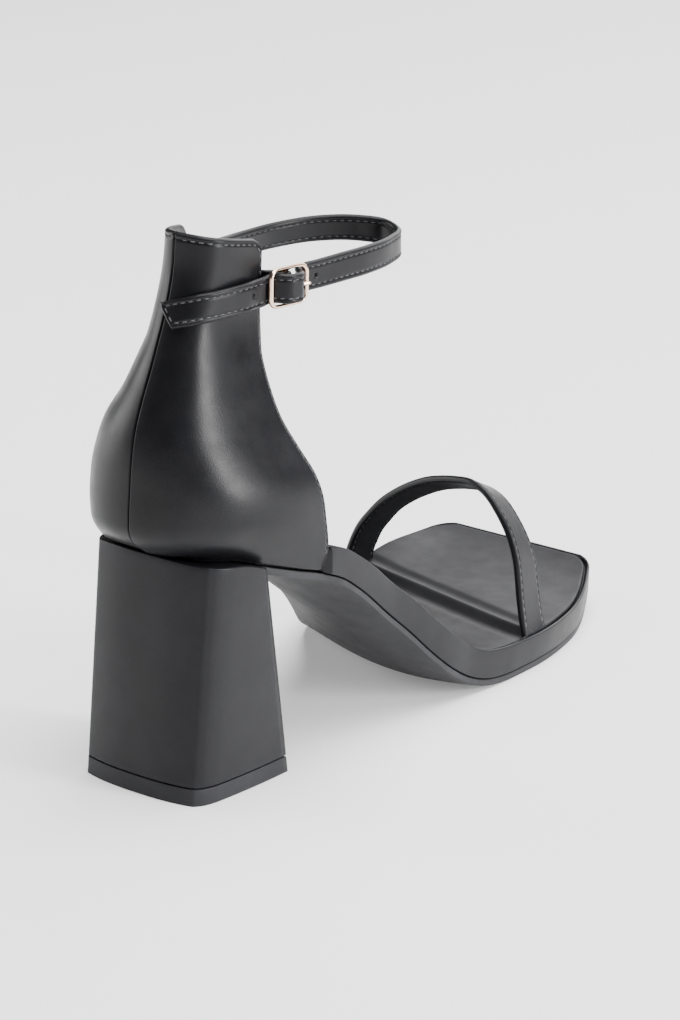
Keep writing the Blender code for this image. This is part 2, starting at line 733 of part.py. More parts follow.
def foot_place(side, y):
    """Where the strap's outer face meets the board."""
    return side * (float(sole_edge(side, y)) - TOE_STRAP_INSET)


def toe_strap_edges():
    """Rear and front edges of the strap's outer face, as tables by the rear one's length."""
    forward = TOE_STRAP_WIDTH * math.cos(math.radians(STRAP_SLOPE))
    columns = dict(zip(TOE_STRAP_COLUMNS, np.array(TOE_STRAP_ROWS).T))
    across, rise, drop = columns["across"], columns["rise"], columns["drop"]
    rear_y = SOLE_LENGTH * (MEDIAL_FOOT + across * (LATERAL_FOOT - MEDIAL_FOOT))
    edges = []
    for shift, lower in ((0.0, 0.0 * drop), (forward * (1.0 + columns["flare"]), drop)):
        y = rear_y + shift
        medial = foot_place(MEDIAL, y[0])
        lateral = foot_place(LATERAL, y[-1])
        x = medial + across * (lateral - medial)
        base = np.array([float(board_top(x[i], y[i])) + GAP for i in range(len(x))])
        z = base + TOE_STRAP_HEIGHT * (rise - lower)
        edges.append(np.stack([x, y, z], axis=1))
    steps = np.linalg.norm(np.diff(edges[0], axis=0), axis=1)
    length = np.concatenate(([0.0], np.cumsum(steps)))
    names = ("x", "y", "z")
    return [Table(names, edge, places=length, limited=False) for edge in edges]


TOE_EDGES = toe_strap_edges()


def toe_strap_point(length, v, depth):
    """Point of the strap at a length round it, a share of its width and a depth."""
    def face(at, share):
        rear = np.array([TOE_EDGES[0].at(name, at) for name in ("x", "y", "z")])
        front = np.array([TOE_EDGES[1].at(name, at) for name in ("x", "y", "z")])
        return rear + share * (front - rear)

    reach = 0.01 * TOE_STRAP_HEIGHT
    end = TOE_EDGES[0].places[-1]
    before = face(max(length - reach, 0.0), v)
    after = face(min(length + reach, end), v)
    outward = np.cross(after - before, face(length, 1.0) - face(length, 0.0))
    if length in (0.0, end):
        outward[2] = 0.0
    return face(length, v) - depth * outward / np.linalg.norm(outward)


def build_toe_strap():
    """Wide strap over the toes."""
    end = TOE_EDGES[0].places[-1]
    along = [end * float(share) for share in np.linspace(0.0, 1.0, 37)]
    widths = (0.0, 0.07, 0.5, 0.93, 1.0)

    def place(u, v, w):
        thin = 0.25 if v in (0.0, 1.0) else 0.0
        depth = TOE_STRAP_THICK * (w + thin * (1.0 - 2.0 * w))
        return toe_strap_point(u, v, depth)

    return lattice("toe_strap", BLACK_LEATHER, (along, widths, (0.0, 1.0)), place)


def toe_strap_shares(side):
    """Lengths, widths and depths of the room round one foot of the strap."""
    end = TOE_EDGES[0].places[-1]
    reach = 0.12 * TOE_STRAP_HEIGHT
    lengths = (-reach, 0.0, reach) if side == MEDIAL else (end - reach, end, end + reach)
    margin = GAP / TOE_STRAP_WIDTH
    return lengths, (-margin, 0.5, 1.0 + margin), (-BALL_WIDTH * 0.1, TOE_STRAP_THICK + GAP)


def toe_strap_notch(length, v, depth):
    """The strap's room, carried down through the board's edge."""
    end = TOE_EDGES[0].places[-1]
    inside = min(max(length, 0.0), end)
    point = toe_strap_point(inside, v, depth)
    return point - np.array([0.0, 0.0, abs(length - inside)])


# The ankle strap and its buckle

UP = np.array([0.0, 0.0, 1.0])


def buckle_frame_of():
    """Centre of the buckle, its direction along the strap and its outward direction."""
    turn = math.radians(BUCKLE_TURN)
    along = np.array([-math.sin(turn), -math.cos(turn), 0.0])
    outward = np.cross(UP, along)
    centre = np.array([LOOP_SPREAD, float(front_line(LOOP_HEIGHT)) + BUCKLE_AHEAD, LOOP_HEIGHT])
    return centre, along, outward


CENTRE, ALONG, OUTWARD = buckle_frame_of()
BAR = 0.5 * BUCKLE_ROD
BAR_PLACE = 0.5 * BUCKLE_LENGTH - BAR          # frame's end bars from the centre bar
STRAP_UNDER = -(BAR + GAP + 0.5 * STRAP_THICK)
STRAP_OVER = 2.0 * PRONG_ROD + 3.0 * GAP + 0.5 * STRAP_THICK + BAR - BAR_DROP


def at_buckle(along, outward, up=0.0):
    """Point by its distances from the buckle's centre."""
    return CENTRE + along * ALONG + outward * OUTWARD + up * UP


def strap_wave(along):
    """How far out the strap's middle lies as it passes over the centre bar, and how high."""
    reach = along / BAR_PLACE
    share = min(abs(reach) / STRAP_DIVE, 1.0) ** STRAP_FULL
    out = STRAP_UNDER + (STRAP_OVER - STRAP_UNDER) * 0.5 * (1.0 + math.cos(math.pi * share))
    return out, math.copysign(STRAP_TILT, -reach) * float(smooth_step((abs(reach) - 0.5) / 0.9))


def loop_place(front, row):
    """Turn a row of the loop's table into x, y, z and lean."""
    spot = dict(zip(LOOP_COLUMNS, row))
    return (spot["side"] * LOOP_SPREAD, front + spot["forward"] * LOOP_REACH,
            LOOP_HEIGHT + spot["rise"] * STRAP_WIDTH, spot["lean"])


def strap_route():
    """Middle of the ankle strap as rows of x, y, z and lean, from end to end."""
    rows = []
    rise = LOOP_HEIGHT + ANCHOR_RISE * STRAP_WIDTH
    front = float(front_line(LOOP_HEIGHT))
    inner = COUNTER_WALL + GAP + 0.5 * STRAP_THICK
    for back in (1.0, 0.5, 0.1):
        y = front - back * ANCHOR_LENGTH
        reach = min(wall_reach(MEDIAL, y, rise + up * STRAP_WIDTH, inner) for up in (-0.5, 0.5))
        rows.append((-reach, y, rise, 4.0))
    rows += [loop_place(front, row) for row in LOOP_ROWS]
    for step in range(-12, 13):
        along = step * BAR_PLACE / 8.0
        rows.append((*at_buckle(along, *strap_wave(along)), 0.0))
    rows += [loop_place(front, row) for row in TAIL_ROWS]
    return np.array(rows)


def band(name, look, rows, width, thick, spacing, slant=0.0):
    """Flat strap with soft edges along rows of x, y, z and lean in degrees.

    slant is how much shorter its lower edge is at its far end.
    """
    steps = np.linalg.norm(np.diff(rows[:, :3], axis=0), axis=1)
    length = np.concatenate(([0.0], np.cumsum(steps)))
    route = Table(("x", "y", "z", "lean"), rows, places=length, limited=False)
    stops = [0.0]
    for start, end in zip(length, length[1:]):
        count = max(1, int(round((end - start) / spacing)))
        stops += [start + (end - start) * (i + 1) / count for i in range(count)]

    def middle(at):
        return np.array([route.at(axis, at) for axis in ("x", "y", "z")])

    def place(u, v, w):
        reach = 0.1 * spacing
        if slant:
            u -= slant * (1.0 - v) * max(0.0, 1.0 - (length[-1] - u) / (4.0 * slant))
        along = middle(min(u + reach, length[-1])) - middle(max(u - reach, 0.0))
        outward = np.cross(UP, along)
        outward /= np.linalg.norm(outward)
        lean = math.radians(float(route.at("lean", u)))
        upward = UP * math.cos(lean) - outward * math.sin(lean)
        across = outward * math.cos(lean) + UP * math.sin(lean)
        thin = 0.6 if v in (0.0, 1.0) else 1.0
        return middle(u) + (v - 0.5) * width * upward + (0.5 - w) * thin * thick * across

    return lattice(name, look, (stops, (0.0, 0.08, 0.5, 0.92, 1.0), (0.0, 1.0)), place)


def build_ankle_strap():
    """Strap from inside the counter, round the ankle and through the buckle."""
    strap = band("ankle_strap", BLACK_LEATHER, strap_route(), STRAP_WIDTH, STRAP_THICK, 0.0042,
                 TIP_SLANT)
    hole = tube("prong_hole", BLACK_LEATHER, prong_line(0.38, 0.98, 7), HOLE_RADIUS, sides=12)
    combine(strap, hole, "DIFFERENCE")
    return strap


HOOK = BAR + GAP + 0.5 * PRONG_ROD                    # centre bar's middle to the prong's
HOLE_RADIUS = 0.5 * PRONG_ROD + GAP
FRAME_HALF = 0.5 * STRAP_WIDTH + BUCKLE_ROOM + BAR    # buckle's middle to its side rods


def prong_line(start, end, count):
    """The prong's straight run from the centre bar to the top of the front rod."""
    return [at_buckle(-share * BAR_PLACE, HOOK * (share - 0.2) / 0.8)
            for share in np.linspace(start, end, count)]


def build_buckle_frame():
    """Rounded frame with its centre bar."""
    points = []
    straight = (BAR_PLACE - BUCKLE_CORNER, FRAME_HALF - BUCKLE_CORNER)
    for quarter, (sign_along, sign_up) in enumerate(((1, 1), (-1, 1), (-1, -1), (1, -1))):
        for step in range(5):
            turn = 0.5 * math.pi * (quarter + step / 4.0)
            points.append(at_buckle(sign_along * straight[0] + BUCKLE_CORNER * math.cos(turn), 0.0,
                                    sign_up * straight[1] + BUCKLE_CORNER * math.sin(turn)))
    frame = tube("buckle_frame", ROSE_GOLD, points, BAR, sides=8, closed=True)
    half = 0.5 * TAB_WIDTH + GAP
    rows = ((FRAME_HALF, 0.0), (0.5 * (FRAME_HALF + half), 0.6), (half, 1.0))
    upper = [at_buckle(0.0, -share * BAR_DROP, up) for up, share in rows]
    lower = [at_buckle(0.0, -share * BAR_DROP, -up) for up, share in reversed(rows)]
    bar = tube("centre_bar", ROSE_GOLD, upper + lower, 0.96 * BAR, sides=8)
    combine(frame, bar, "UNION")
    return frame


def build_prong():
    """Prong hooked round the centre bar, through the strap and on to the front rod."""
    turns = [math.radians(angle) for angle in range(50, -181, -23)]
    points = [at_buckle(HOOK * math.cos(turn), HOOK * math.sin(turn) - BAR_DROP) for turn in turns]
    points.append(at_buckle(-1.15 * HOOK, -0.5 * BAR_DROP))
    points += prong_line(0.36, 1.0, 6)
    points.append(at_buckle(-BAR_PLACE - 0.4 * PRONG_ROD, HOOK))
    return tube("buckle_prong", ROSE_GOLD, points, 0.5 * PRONG_ROD, sides=8)


def build_tab():
    """Folded tab from inside the counter round the centre bar, slotted for the prong."""
    front = float(front_line(LOOP_HEIGHT))
    ring = BAR + GAP + 0.5 * TAB_THICK
    spread = TAB_THICK + GAP

    def inside(back, layer):
        """Point of a layer inside the lateral wall, a share of its length from the edge."""
        y = front - back * ANCHOR_LENGTH
        depth = COUNTER_WALL + GAP + 0.5 * TAB_THICK + layer * spread
        reach = min(wall_reach(LATERAL, y, LOOP_HEIGHT + up * TAB_WIDTH, depth) for up in (-0.5, 0.5))
        return np.array([reach, y, LOOP_HEIGHT])

    centre = at_buckle(0.0, -BAR_DROP)
    edge = inside(0.0, 0.0) + np.array([0.0, 3.0 * GAP + 0.5 * TAB_THICK, 0.0])
    away = edge - centre
    away /= np.linalg.norm(away)
    beside = np.cross(away, UP)
    points = [inside(0.9, 0.0), inside(0.5, 0.0), inside(0.15, 0.0), edge]
    points.append(centre + 0.55 * (edge - centre) + 0.55 * spread * beside)
    for turn in np.linspace(0.0, math.pi, 9):
        direction = math.cos(turn) * beside - math.sin(turn) * away
        points.append(centre + ring * direction)
    points.append(centre + 0.55 * (edge - centre) - 0.55 * spread * beside)
    points += [edge - spread * OUTWARD * 1.2, inside(0.15, 1.0), inside(0.5, 1.0)]
    rows = np.array([(*point, 0.0) for point in points])
    tab = band("buckle_tab", BLACK_LEATHER, rows, TAB_WIDTH, TAB_THICK, 0.0030)
    room = 0.5 * PRONG_ROD + GAP
    reach = BAR + GAP + PRONG_ROD + GAP

    def slot(u, v, w):
        return at_buckle(u * reach, v * 1.6 * reach - BAR_DROP, w * room)

    cutter = lattice("prong_slot", BLACK_LEATHER, ((-1.2, 1.1), (-1.0, 1.0), (-1.0, 1.0)), slot)
    combine(tab, cutter, "DIFFERENCE")
    return tab


def place_on_floor(pieces):
    """Bring the middle of the floor area to zero by moving the pieces' parent."""
    corners = [piece.matrix_world @ Vector(corner) for piece in pieces for corner in piece.bound_box]
    middle = [0.5 * (min(c[axis] for c in corners) + max(c[axis] for c in corners))
              for axis in range(2)]
    origin = bpy.data.objects.new("shoe_origin", None)
    bpy.context.scene.collection.objects.link(origin)
    origin.location = (-middle[0], -middle[1], 0.0)
    for piece in bpy.data.objects:
        if piece is not origin:
            piece.parent = origin
    bpy.context.view_layer.update()


def main():
    """Build the sandal."""
    clear_scene()
    pieces = [
        build_lift(),
        build_heel(),
        build_outsole(),
        build_platform(),
        build_insole(),
        build_counter(),
        build_toe_strap(),
        build_ankle_strap(),
        build_buckle_frame(),
        build_prong(),
        build_tab(),
    ]
    place_on_floor(pieces)


main()
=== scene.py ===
"""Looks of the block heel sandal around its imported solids.

Every piece is worked out again from the sandal's own sizes on a finer grid, with rolled
edges, stitching, seams and holes, and takes the place of its solid. Metres, +Z up. The
pieces are worked out with y = 0 at the back of the heel's foot and then moved with the
frame.
"""

import math

import bmesh
import bpy
import numpy as np
from mathutils import Matrix, Vector


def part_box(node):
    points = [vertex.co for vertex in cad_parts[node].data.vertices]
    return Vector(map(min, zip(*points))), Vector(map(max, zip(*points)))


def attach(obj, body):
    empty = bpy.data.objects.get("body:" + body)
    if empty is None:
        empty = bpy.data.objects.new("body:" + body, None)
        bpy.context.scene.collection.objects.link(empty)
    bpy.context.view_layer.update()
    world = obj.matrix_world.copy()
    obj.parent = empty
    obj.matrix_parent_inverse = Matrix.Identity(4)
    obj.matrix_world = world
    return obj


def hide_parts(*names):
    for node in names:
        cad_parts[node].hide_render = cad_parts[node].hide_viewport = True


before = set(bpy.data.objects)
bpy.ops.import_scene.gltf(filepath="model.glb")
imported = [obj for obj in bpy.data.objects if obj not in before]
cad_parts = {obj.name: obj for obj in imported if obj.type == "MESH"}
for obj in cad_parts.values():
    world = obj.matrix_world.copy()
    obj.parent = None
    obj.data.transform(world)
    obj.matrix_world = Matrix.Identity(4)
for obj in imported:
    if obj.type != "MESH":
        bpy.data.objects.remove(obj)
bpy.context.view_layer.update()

MM = 0.001
UP = np.array([0.0, 0.0, 1.0])

# Sizes of the sandal, as in its source
SOLE_LENGTH = 0.2225
BALL_WIDTH = 0.0830
SEAT_HEIGHT = 0.0712
MEDIAL_LIFT = 0.0088
ARCH_HOLLOW = 0.0042
TOE_SPRING = 0.0048
TOE_CORNER = 0.0060
OUTSOLE_THICK = 0.0022
OUTSOLE_INSET = 0.0003
PLATFORM_THICK = 0.0068
INSOLE_THICK = 0.0012
INSOLE_INSET = 0.0014
SOCK_RIM = 0.0014          # the wrap's rim round the sock, over the board
BOARD_ROOM = 0.0006
RIDGE_HEIGHT = 0.0016
RIDGE_WIDTH = 0.0034
RIDGE_PLACE = 0.1640
HEEL_TOP_WIDTH = 0.0500
HEEL_TOP_DEPTH = 0.0193
HEEL_TOP_BACK = 0.0055
HEEL_FOOT_WIDTH = 0.0494
HEEL_FOOT_DEPTH = 0.0379
HEEL_TAPER = 0.0025
HEEL_CORNER_WIDE = 0.0028
HEEL_CORNER_DEEP = 0.0077
HEEL_BULGE = 0.0027
BULGE_CURVE = 2.7
HEEL_SKEW = 0.020
LIFT_THICK = 0.0051
COUNTER_HEIGHT = 0.0913
COUNTER_WIDTH = 0.0640
COUNTER_LENGTH = 0.0547
COUNTER_BACK = 0.0054
COUNTER_WALL = 0.0020
COUNTER_TUCK = 0.0075
TUCK_HEIGHT = 0.0150
TOP_DROP = 0.0040
TOP_CORNER = 0.0044
FOOT_CORNER = 0.0030
SEAM_STEP = 0.0006
SEAM_FADE = 0.0110
TOE_STRAP_WIDTH = 0.0146
TOE_STRAP_THICK = 0.0020
TOE_STRAP_HEIGHT = 0.0475
TOE_STRAP_INSET = 0.0010
STRAP_WIDTH = 0.0086
STRAP_THICK = 0.0019
LOOP_REACH = 0.0667
LOOP_SPREAD = 0.0178
LOOP_HEIGHT = 0.1445
TIP_SLANT = 0.0060
ANCHOR_LENGTH = 0.0140
BUCKLE_LENGTH = 0.0152
BUCKLE_ROD = 0.0014
BUCKLE_ROOM = 0.0004
BUCKLE_CORNER = 0.0024
BUCKLE_AHEAD = 0.0055
BUCKLE_TURN = 8.5
BAR_DROP = 0.0016
STRAP_TILT = 0.0009
STRAP_FULL = 1.7
STRAP_DIVE = 0.85
PRONG_ROD = 0.0011
TAB_THICK = 0.0009
TAB_WIDTH = 0.0078
GAP = 0.0003
SHORT = 0.0005

SOLE_ROWS = (
    (0.000, 0.300, 0.300, 1.010, 0.00),
    (0.023, 0.310, 0.310, 0.997, 0.00),
    (0.076, 0.325, 0.330, 0.976, 0.00),
    (0.119, 0.332, 0.345, 0.930, 0.00),
    (0.180, 0.338, 0.357, 0.868, 0.08),
    (0.218, 0.337, 0.360, 0.832, 0.25),
    (0.252, 0.334, 0.361, 0.785, 0.39),
    (0.297, 0.320, 0.361, 0.690, 0.54),
    (0.357, 0.302, 0.361, 0.534, 0.78),
    (0.412, 0.296, 0.369, 0.390, 0.97),
    (0.454, 0.315, 0.380, 0.270, 1.00),
    (0.509, 0.372, 0.390, 0.134, 0.92),
    (0.548, 0.428, 0.392, 0.062, 0.76),
    (0.584, 0.482, 0.399, 0.021, 0.50),
    (0.620, 0.530, 0.404, 0.004, 0.20),
    (0.652, 0.562, 0.406, 0.000, 0.00),
    (0.710, 0.600, 0.404, 0.000, 0.00),
    (0.800, 0.630, 0.372, 0.000, 0.00),
    (0.865, 0.636, 0.325, 0.000, 0.00),
    (0.925, 0.620, 0.260, 0.000, 0.00),
    (0.970, 0.590, 0.198, 0.000, 0.00),
    (1.000, 0.555, 0.155, 0.000, 0.00),
)
LIFT_CURVE = 2.4
SPRING_START = 0.82
TOE_SLANT = 0.024
RIDGE_SLANT = 0.27

COUNTER_ROWS = (
    (-0.14, 0.000, 1.000, 0.435, 0.484, 0.66, 0.66, 0.00, 0.00),
    (-0.05, 0.000, 0.995, 0.458, 0.484, 0.66, 0.66, 0.00, 0.00),
    (0.04, 0.000, 0.960, 0.487, 0.482, 0.66, 0.67, 0.00, 0.00),
    (0.13, 0.000, 0.922, 0.508, 0.486, 0.65, 0.68, 0.00, 0.00),
    (0.22, 0.007, 0.873, 0.512, 0.466, 0.63, 0.70, 0.02, 0.00),
    (0.31, 0.018, 0.820, 0.493, 0.400, 0.60, 0.73, 0.05, 0.00),
    (0.40, 0.045, 0.775, 0.452, 0.332, 0.56, 0.76, 0.08, 0.00),
    (0.49, 0.098, 0.750, 0.380, 0.285, 0.50, 0.79, 0.12, 0.00),
    (0.58, 0.168, 0.743, 0.342, 0.243, 0.44, 0.82, 0.16, 0.00),
    (0.67, 0.231, 0.776, 0.316, 0.206, 0.39, 0.86, 0.21, 0.00),
    (0.76, 0.290, 0.788, 0.298, 0.192, 0.39, 0.90, 0.22, 0.00),
    (0.88, 0.343, 0.775, 0.262, 0.204, 0.41, 0.94, 0.21, 0.00),
    (1.00, 0.358, 0.765, 0.240, 0.212, 0.42, 0.96, 0.20, 0.00),
)
TUCK_ROWS = (
    (0.00, 1.13, 1.13, 0.66, 0.66, 2.3),
    (0.20, 0.99, 1.09, 0.60, 0.72, 2.2),
    (0.30, 0.80, 1.06, 0.56, 0.76, 2.1),
    (0.40, 0.54, 1.00, 0.54, 0.80, 2.0),
    (0.50, 0.38, 0.95, 0.56, 0.85, 1.9),
    (0.60, 0.40, 0.93, 0.62, 0.89, 1.8),
    (0.75, 0.56, 0.88, 0.80, 0.95, 1.7),
    (1.00, 0.42, 0.42, 1.00, 1.00, 1.5),
)
TOE_STRAP_ROWS = (
    (0.000, 0.000, 0.000, 0.34),
    (0.004, 0.120, 0.050, 0.30),
    (0.039, 0.303, 0.110, 0.22),
    (0.072, 0.408, 0.120, 0.17),
    (0.127, 0.526, 0.125, 0.10),
    (0.190, 0.640, 0.125, 0.04),
    (0.277, 0.757, 0.128, 0.00),
    (0.367, 0.851, 0.130, 0.00),
    (0.449, 0.917, 0.130, 0.00),
    (0.522, 0.956, 0.130, 0.00),
    (0.598, 0.985, 0.130, 0.00),
    (0.680, 1.000, 0.130, 0.00),
    (0.760, 0.960, 0.130, 0.00),
    (0.837, 0.846, 0.128, 0.00),
    (0.900, 0.700, 0.125, 0.00),
    (0.934, 0.560, 0.120, 0.00),
    (0.952, 0.400, 0.105, 0.00),
    (0.960, 0.310, 0.080, 0.00),
    (0.978, 0.150, 0.050, 0.00),
    (1.000, 0.000, 0.000, 0.00),
)
MEDIAL_FOOT = 0.751
LATERAL_FOOT = 0.685
STRAP_SLOPE = 26.0
LOOP_ROWS = (
    (-0.900, 0.204, 0.26, 12.0),
    (-0.955, 0.423, 0.24, 14.0),
    (-0.843, 0.642, 0.30, 15.0),
    (-0.506, 0.818, 0.39, 16.0),
    (0.000, 0.934, 0.42, 15.0),
    (0.449, 0.990, 0.34, 10.0),
    (0.843, 0.940, 0.22, 2.0),
    (1.040, 0.800, 0.17, 0.0),
    (1.115, 0.613, 0.16, 2.0),
    (1.067, 0.423, 0.14, 3.0),
)
TAIL_ROWS = (
    (0.820, -0.149, -0.11, 2.0),
    (0.765, -0.241, -0.14, 0.5),
    (0.714, -0.291, -0.16, -0.5),
    (0.677, -0.327, -0.18, 0.9),
    (0.624, -0.358, -0.20, 4.5),
    (0.554, -0.383, -0.24, 9.2),
    (0.465, -0.403, -0.30, 13.6),
    (0.361, -0.418, -0.36, 16.6),
    (0.242, -0.430, -0.43, 18.3),
    (0.110, -0.438, -0.51, 19.3),
    (0.000, -0.443, -0.58, 19.8),
    (-0.093, -0.438, -0.64, 19.8),
)
ANCHOR_RISE = 0.30

MEDIAL = -1
LATERAL = 1

LIFT_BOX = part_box("top_lift")
OFFSET = np.array([0.5 * (LIFT_BOX[0].x + LIFT_BOX[1].x), LIFT_BOX[1].y - HEEL_FOOT_DEPTH, 0.0])


class Table:
    """Columns of values read smoothly between rows."""

    def __init__(self, columns, rows, places=None, limited=True):
        data = np.array(rows, dtype=float)
        if places is None:
            places, data = data[:, 0], data[:, 1:]
        self.places = np.array(places, dtype=float)
        self.columns = {name: data[:, i] for i, name in enumerate(columns)}
        self.slopes = {name: self.find_slopes(values, limited)
                       for name, values in self.columns.items()}

    def find_slopes(self, values, limited):
        """Slope at each row; limited leaves no bump between level rows."""
        steps = np.diff(self.places)
        rises = np.diff(values) / steps
        inner = (rises[:-1] * steps[1:] + rises[1:] * steps[:-1]) / (steps[:-1] + steps[1:])
        if limited:
            least = 3.0 * np.minimum(np.abs(rises[:-1]), np.abs(rises[1:]))
            inner = np.sign(inner) * np.minimum(np.abs(inner), least)
            inner[rises[:-1] * rises[1:] <= 0] = 0.0
        return np.concatenate(([rises[0]], inner, [rises[-1]]))

    def at(self, name, place):
        """Value of a column at one place or at an array of them."""
        place = np.clip(place, self.places[0], self.places[-1])
        low = np.clip(np.searchsorted(self.places, place) - 1, 0, len(self.places) - 2)
        step = self.places[low + 1] - self.places[low]
        t = (place - self.places[low]) / step
        values, slopes = self.columns[name], self.slopes[name]
        start, end = values[low], values[low + 1]
        first, last = slopes[low] * step, slopes[low + 1] * step
        bend = (2 * t**3 - 3 * t**2 + 1) * start + (3 * t**2 - 2 * t**3) * end
        return bend + (t**3 - 2 * t**2 + t) * first + (t**3 - t**2) * last

    def point(self, place):
        """x, y and z at an array of places."""
        return np.stack([self.at(axis, place) for axis in "xyz"], axis=-1)


def smooth_step(share):
    """Ease from 0 to 1."""
    share = np.clip(share, 0.0, 1.0)
    return share * share * (3.0 - 2.0 * share)


def bell(distance, width):
    """1 at a distance of 0, easing to 0 at a width."""
    return 1.0 - smooth_step(np.abs(distance) / width)


def round_corner(distance, radius):
    """How far a quarter circle has turned away at a distance from its end."""
    near = np.clip(1.0 - distance / radius, 0.0, 1.0)
    return radius * (1.0 - np.sqrt(1.0 - near * near))


def roll(distance, radius):
    """Share of the thickness left at a distance from a rolled edge."""
    near = np.clip(1.0 - distance / radius, 0.0, 1.0)
    return np.sqrt(1.0 - near * near)


def rim_steps(radius, count=6):
    """Distances close together at an edge that is rolled with a radius."""
    return [radius * (1.0 - math.cos(0.5 * math.pi * i / count)) for i in range(count + 1)]


def unit(vectors):
    """Vectors of length 1."""
    return vectors / np.maximum(np.linalg.norm(vectors, axis=-1, keepdims=True), 1e-12)


def grid_normals(points):
    """Normals of a grid of points."""
    along = np.gradient(points, axis=0)
    across = np.gradient(points, axis=1)
    return unit(np.cross(along, across))


# Meshes

def add_mesh(name, verts, faces, look, slot, *nodes):
    """Make a piece of the sandal from points in its own frame."""
    mesh = bpy.data.meshes.new(name)
    mesh.from_pydata((np.asarray(verts) + OFFSET).tolist(), [], faces)
    mesh.validate()
    bm = bmesh.new()
    bm.from_mesh(mesh)
    bmesh.ops.recalc_face_normals(bm, faces=bm.faces)
    bm.to_mesh(mesh)
    bm.free()
    mesh.shade_smooth()
    mesh.materials.append(look)
    piece = bpy.data.objects.new(name, mesh)
    bpy.context.scene.collection.objects.link(piece)
    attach(piece, "root")
    if nodes:
        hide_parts(*nodes)
    return piece


def grid_faces(index):
    """Quads of a grid of point numbers."""
    quads = np.stack([index[:-1, :-1], index[1:, :-1], index[1:, 1:], index[:-1, 1:]], axis=-1)
    return quads.reshape(-1, 4).tolist()


def shell(name, outer, inner, look, slot, *nodes):
    """Closed skin between two grids whose rims meet."""
    rows, columns = outer.shape[:2]
    first = np.arange(rows * columns).reshape(rows, columns)
    second = first.copy()
    core = (rows - 2) * (columns - 2)
    second[1:-1, 1:-1] = rows * columns + np.arange(core).reshape(rows - 2, columns - 2)
    verts = np.concatenate([outer.reshape(-1, 3), inner[1:-1, 1:-1].reshape(-1, 3)])
    faces = grid_faces(first) + grid_faces(second[::-1])
    return add_mesh(name, verts, faces, look, slot, *nodes)


def ring_tube(centres, rings, closed=False):
    """Verts and faces of a tube from its rings of points, capped where it is open."""
    count, sides = rings.shape[:2]
    index = np.arange(count * sides).reshape(count, sides)
    index = np.concatenate([index, index[:, :1]], axis=1)
    if closed:
        index = np.concatenate([index, index[:1]], axis=0)
    verts = rings.reshape(-1, 3)
    faces = grid_faces(index)
    if not closed:
        verts = np.concatenate([verts, centres[:1], centres[-1:]])
        for ring, tip in ((index[0], count * sides), (index[count - 1], count * sides + 1)):
            faces += [[int(a), int(b), tip] for a, b in zip(ring[:-1], ring[1:])]
    return verts, faces


def rod(points, radii, sides=16, closed=False):
    """Round rod along points with a radius at each."""
    points = np.asarray(points, dtype=float)
    radii = np.broadcast_to(radii, len(points))
    if closed:
        along = np.roll(points, -1, axis=0) - np.roll(points, 1, axis=0)
    else:
        along = np.gradient(points, axis=0)
    along = unit(along)
    normal = np.zeros_like(points)
    start = np.cross(along[0], UP if abs(along[0][2]) < 0.8 else np.array([1.0, 0.0, 0.0]))
    normal[0] = start / np.linalg.norm(start)
    for i in range(1, len(points)):
        turned = normal[i - 1] - along[i] * np.dot(normal[i - 1], along[i])
        normal[i] = turned / np.linalg.norm(turned)
    other = np.cross(along, normal)
    turns = np.linspace(0.0, 2.0 * math.pi, sides, endpoint=False)
    rings = (points[:, None] + radii[:, None, None]
             * (np.cos(turns)[None, :, None] * normal[:, None]
                + np.sin(turns)[None, :, None] * other[:, None]))
    return ring_tube(points, rings, closed)


def lengths(points):
    """Length of a line up to each of its points."""
    steps = np.linalg.norm(np.diff(points, axis=0), axis=1)
    return np.concatenate(([0.0], np.cumsum(steps)))


def smooth_line(points, count):
    """Points evenly spaced on a smooth line through given points."""
    length = lengths(points)
    line = Table("xyz", points, places=length, limited=False)
    return line.point(np.linspace(0.0, length[-1], count))


# The sole

SOLE = Table(("medial", "lateral", "height", "lift"), SOLE_ROWS)
FLAT = OUTSOLE_THICK + GAP


def sole_edge(side, y):
    """Half width of the sole on one side."""
    name = "medial" if side == MEDIAL else "lateral"
    edge = BALL_WIDTH * SOLE.at(name, y / SOLE_LENGTH)
    return edge - round_corner(SOLE_LENGTH - y, TOE_CORNER)


def underside(x, y):
    """Height of the platform's underside."""
    along = y / SOLE_LENGTH
    medial = BALL_WIDTH * SOLE.at("medial", along)
    lateral = BALL_WIDTH * SOLE.at("lateral", along)
    across = np.clip((lateral - x) / (medial + lateral), 0.0, 1.0)
    rise = (SEAT_HEIGHT - FLAT) * SOLE.at("height", along)
    lift = SOLE.at("lift", along) * (MEDIAL_LIFT * across**LIFT_CURVE
                                     - ARCH_HOLLOW * 4.0 * across * (1.0 - across))
    spring = TOE_SPRING * np.clip((along - SPRING_START) / (1.0 - SPRING_START), 0.0, 1.0) ** 2
    return FLAT + np.maximum(rise + lift, 0.0) + spring


def board_depth(y):
    """Upright thickness of the platform."""
    reach = 0.01 * SOLE_LENGTH
    slope = (underside(0.0, y + reach) - underside(0.0, y - reach)) / (2.0 * reach)
    return PLATFORM_THICK * np.sqrt(1.0 + slope**2)


def board_top(x, y):
    """Height of the platform's upper face."""
    return underside(x, y) + board_depth(y)


def slanted(x, y):
    """Move a place back where the toe's front edge slants."""
    share = smooth_step((y / SOLE_LENGTH - SPRING_START) / (1.0 - SPRING_START))
    return y - TOE_SLANT * share * (x + 0.5 * BALL_WIDTH)


# The counter

COUNTER = Table(("back", "front", "medial", "lateral", "medial_full", "lateral_full",
                 "medial_lean", "lateral_lean"), COUNTER_ROWS)
TUCK = Table(("medial", "lateral", "medial_height", "lateral_height", "curve"), TUCK_ROWS)


def counter_level(z):
    """Height as a share of the counter's own."""
    return (z - SEAT_HEIGHT) / COUNTER_HEIGHT


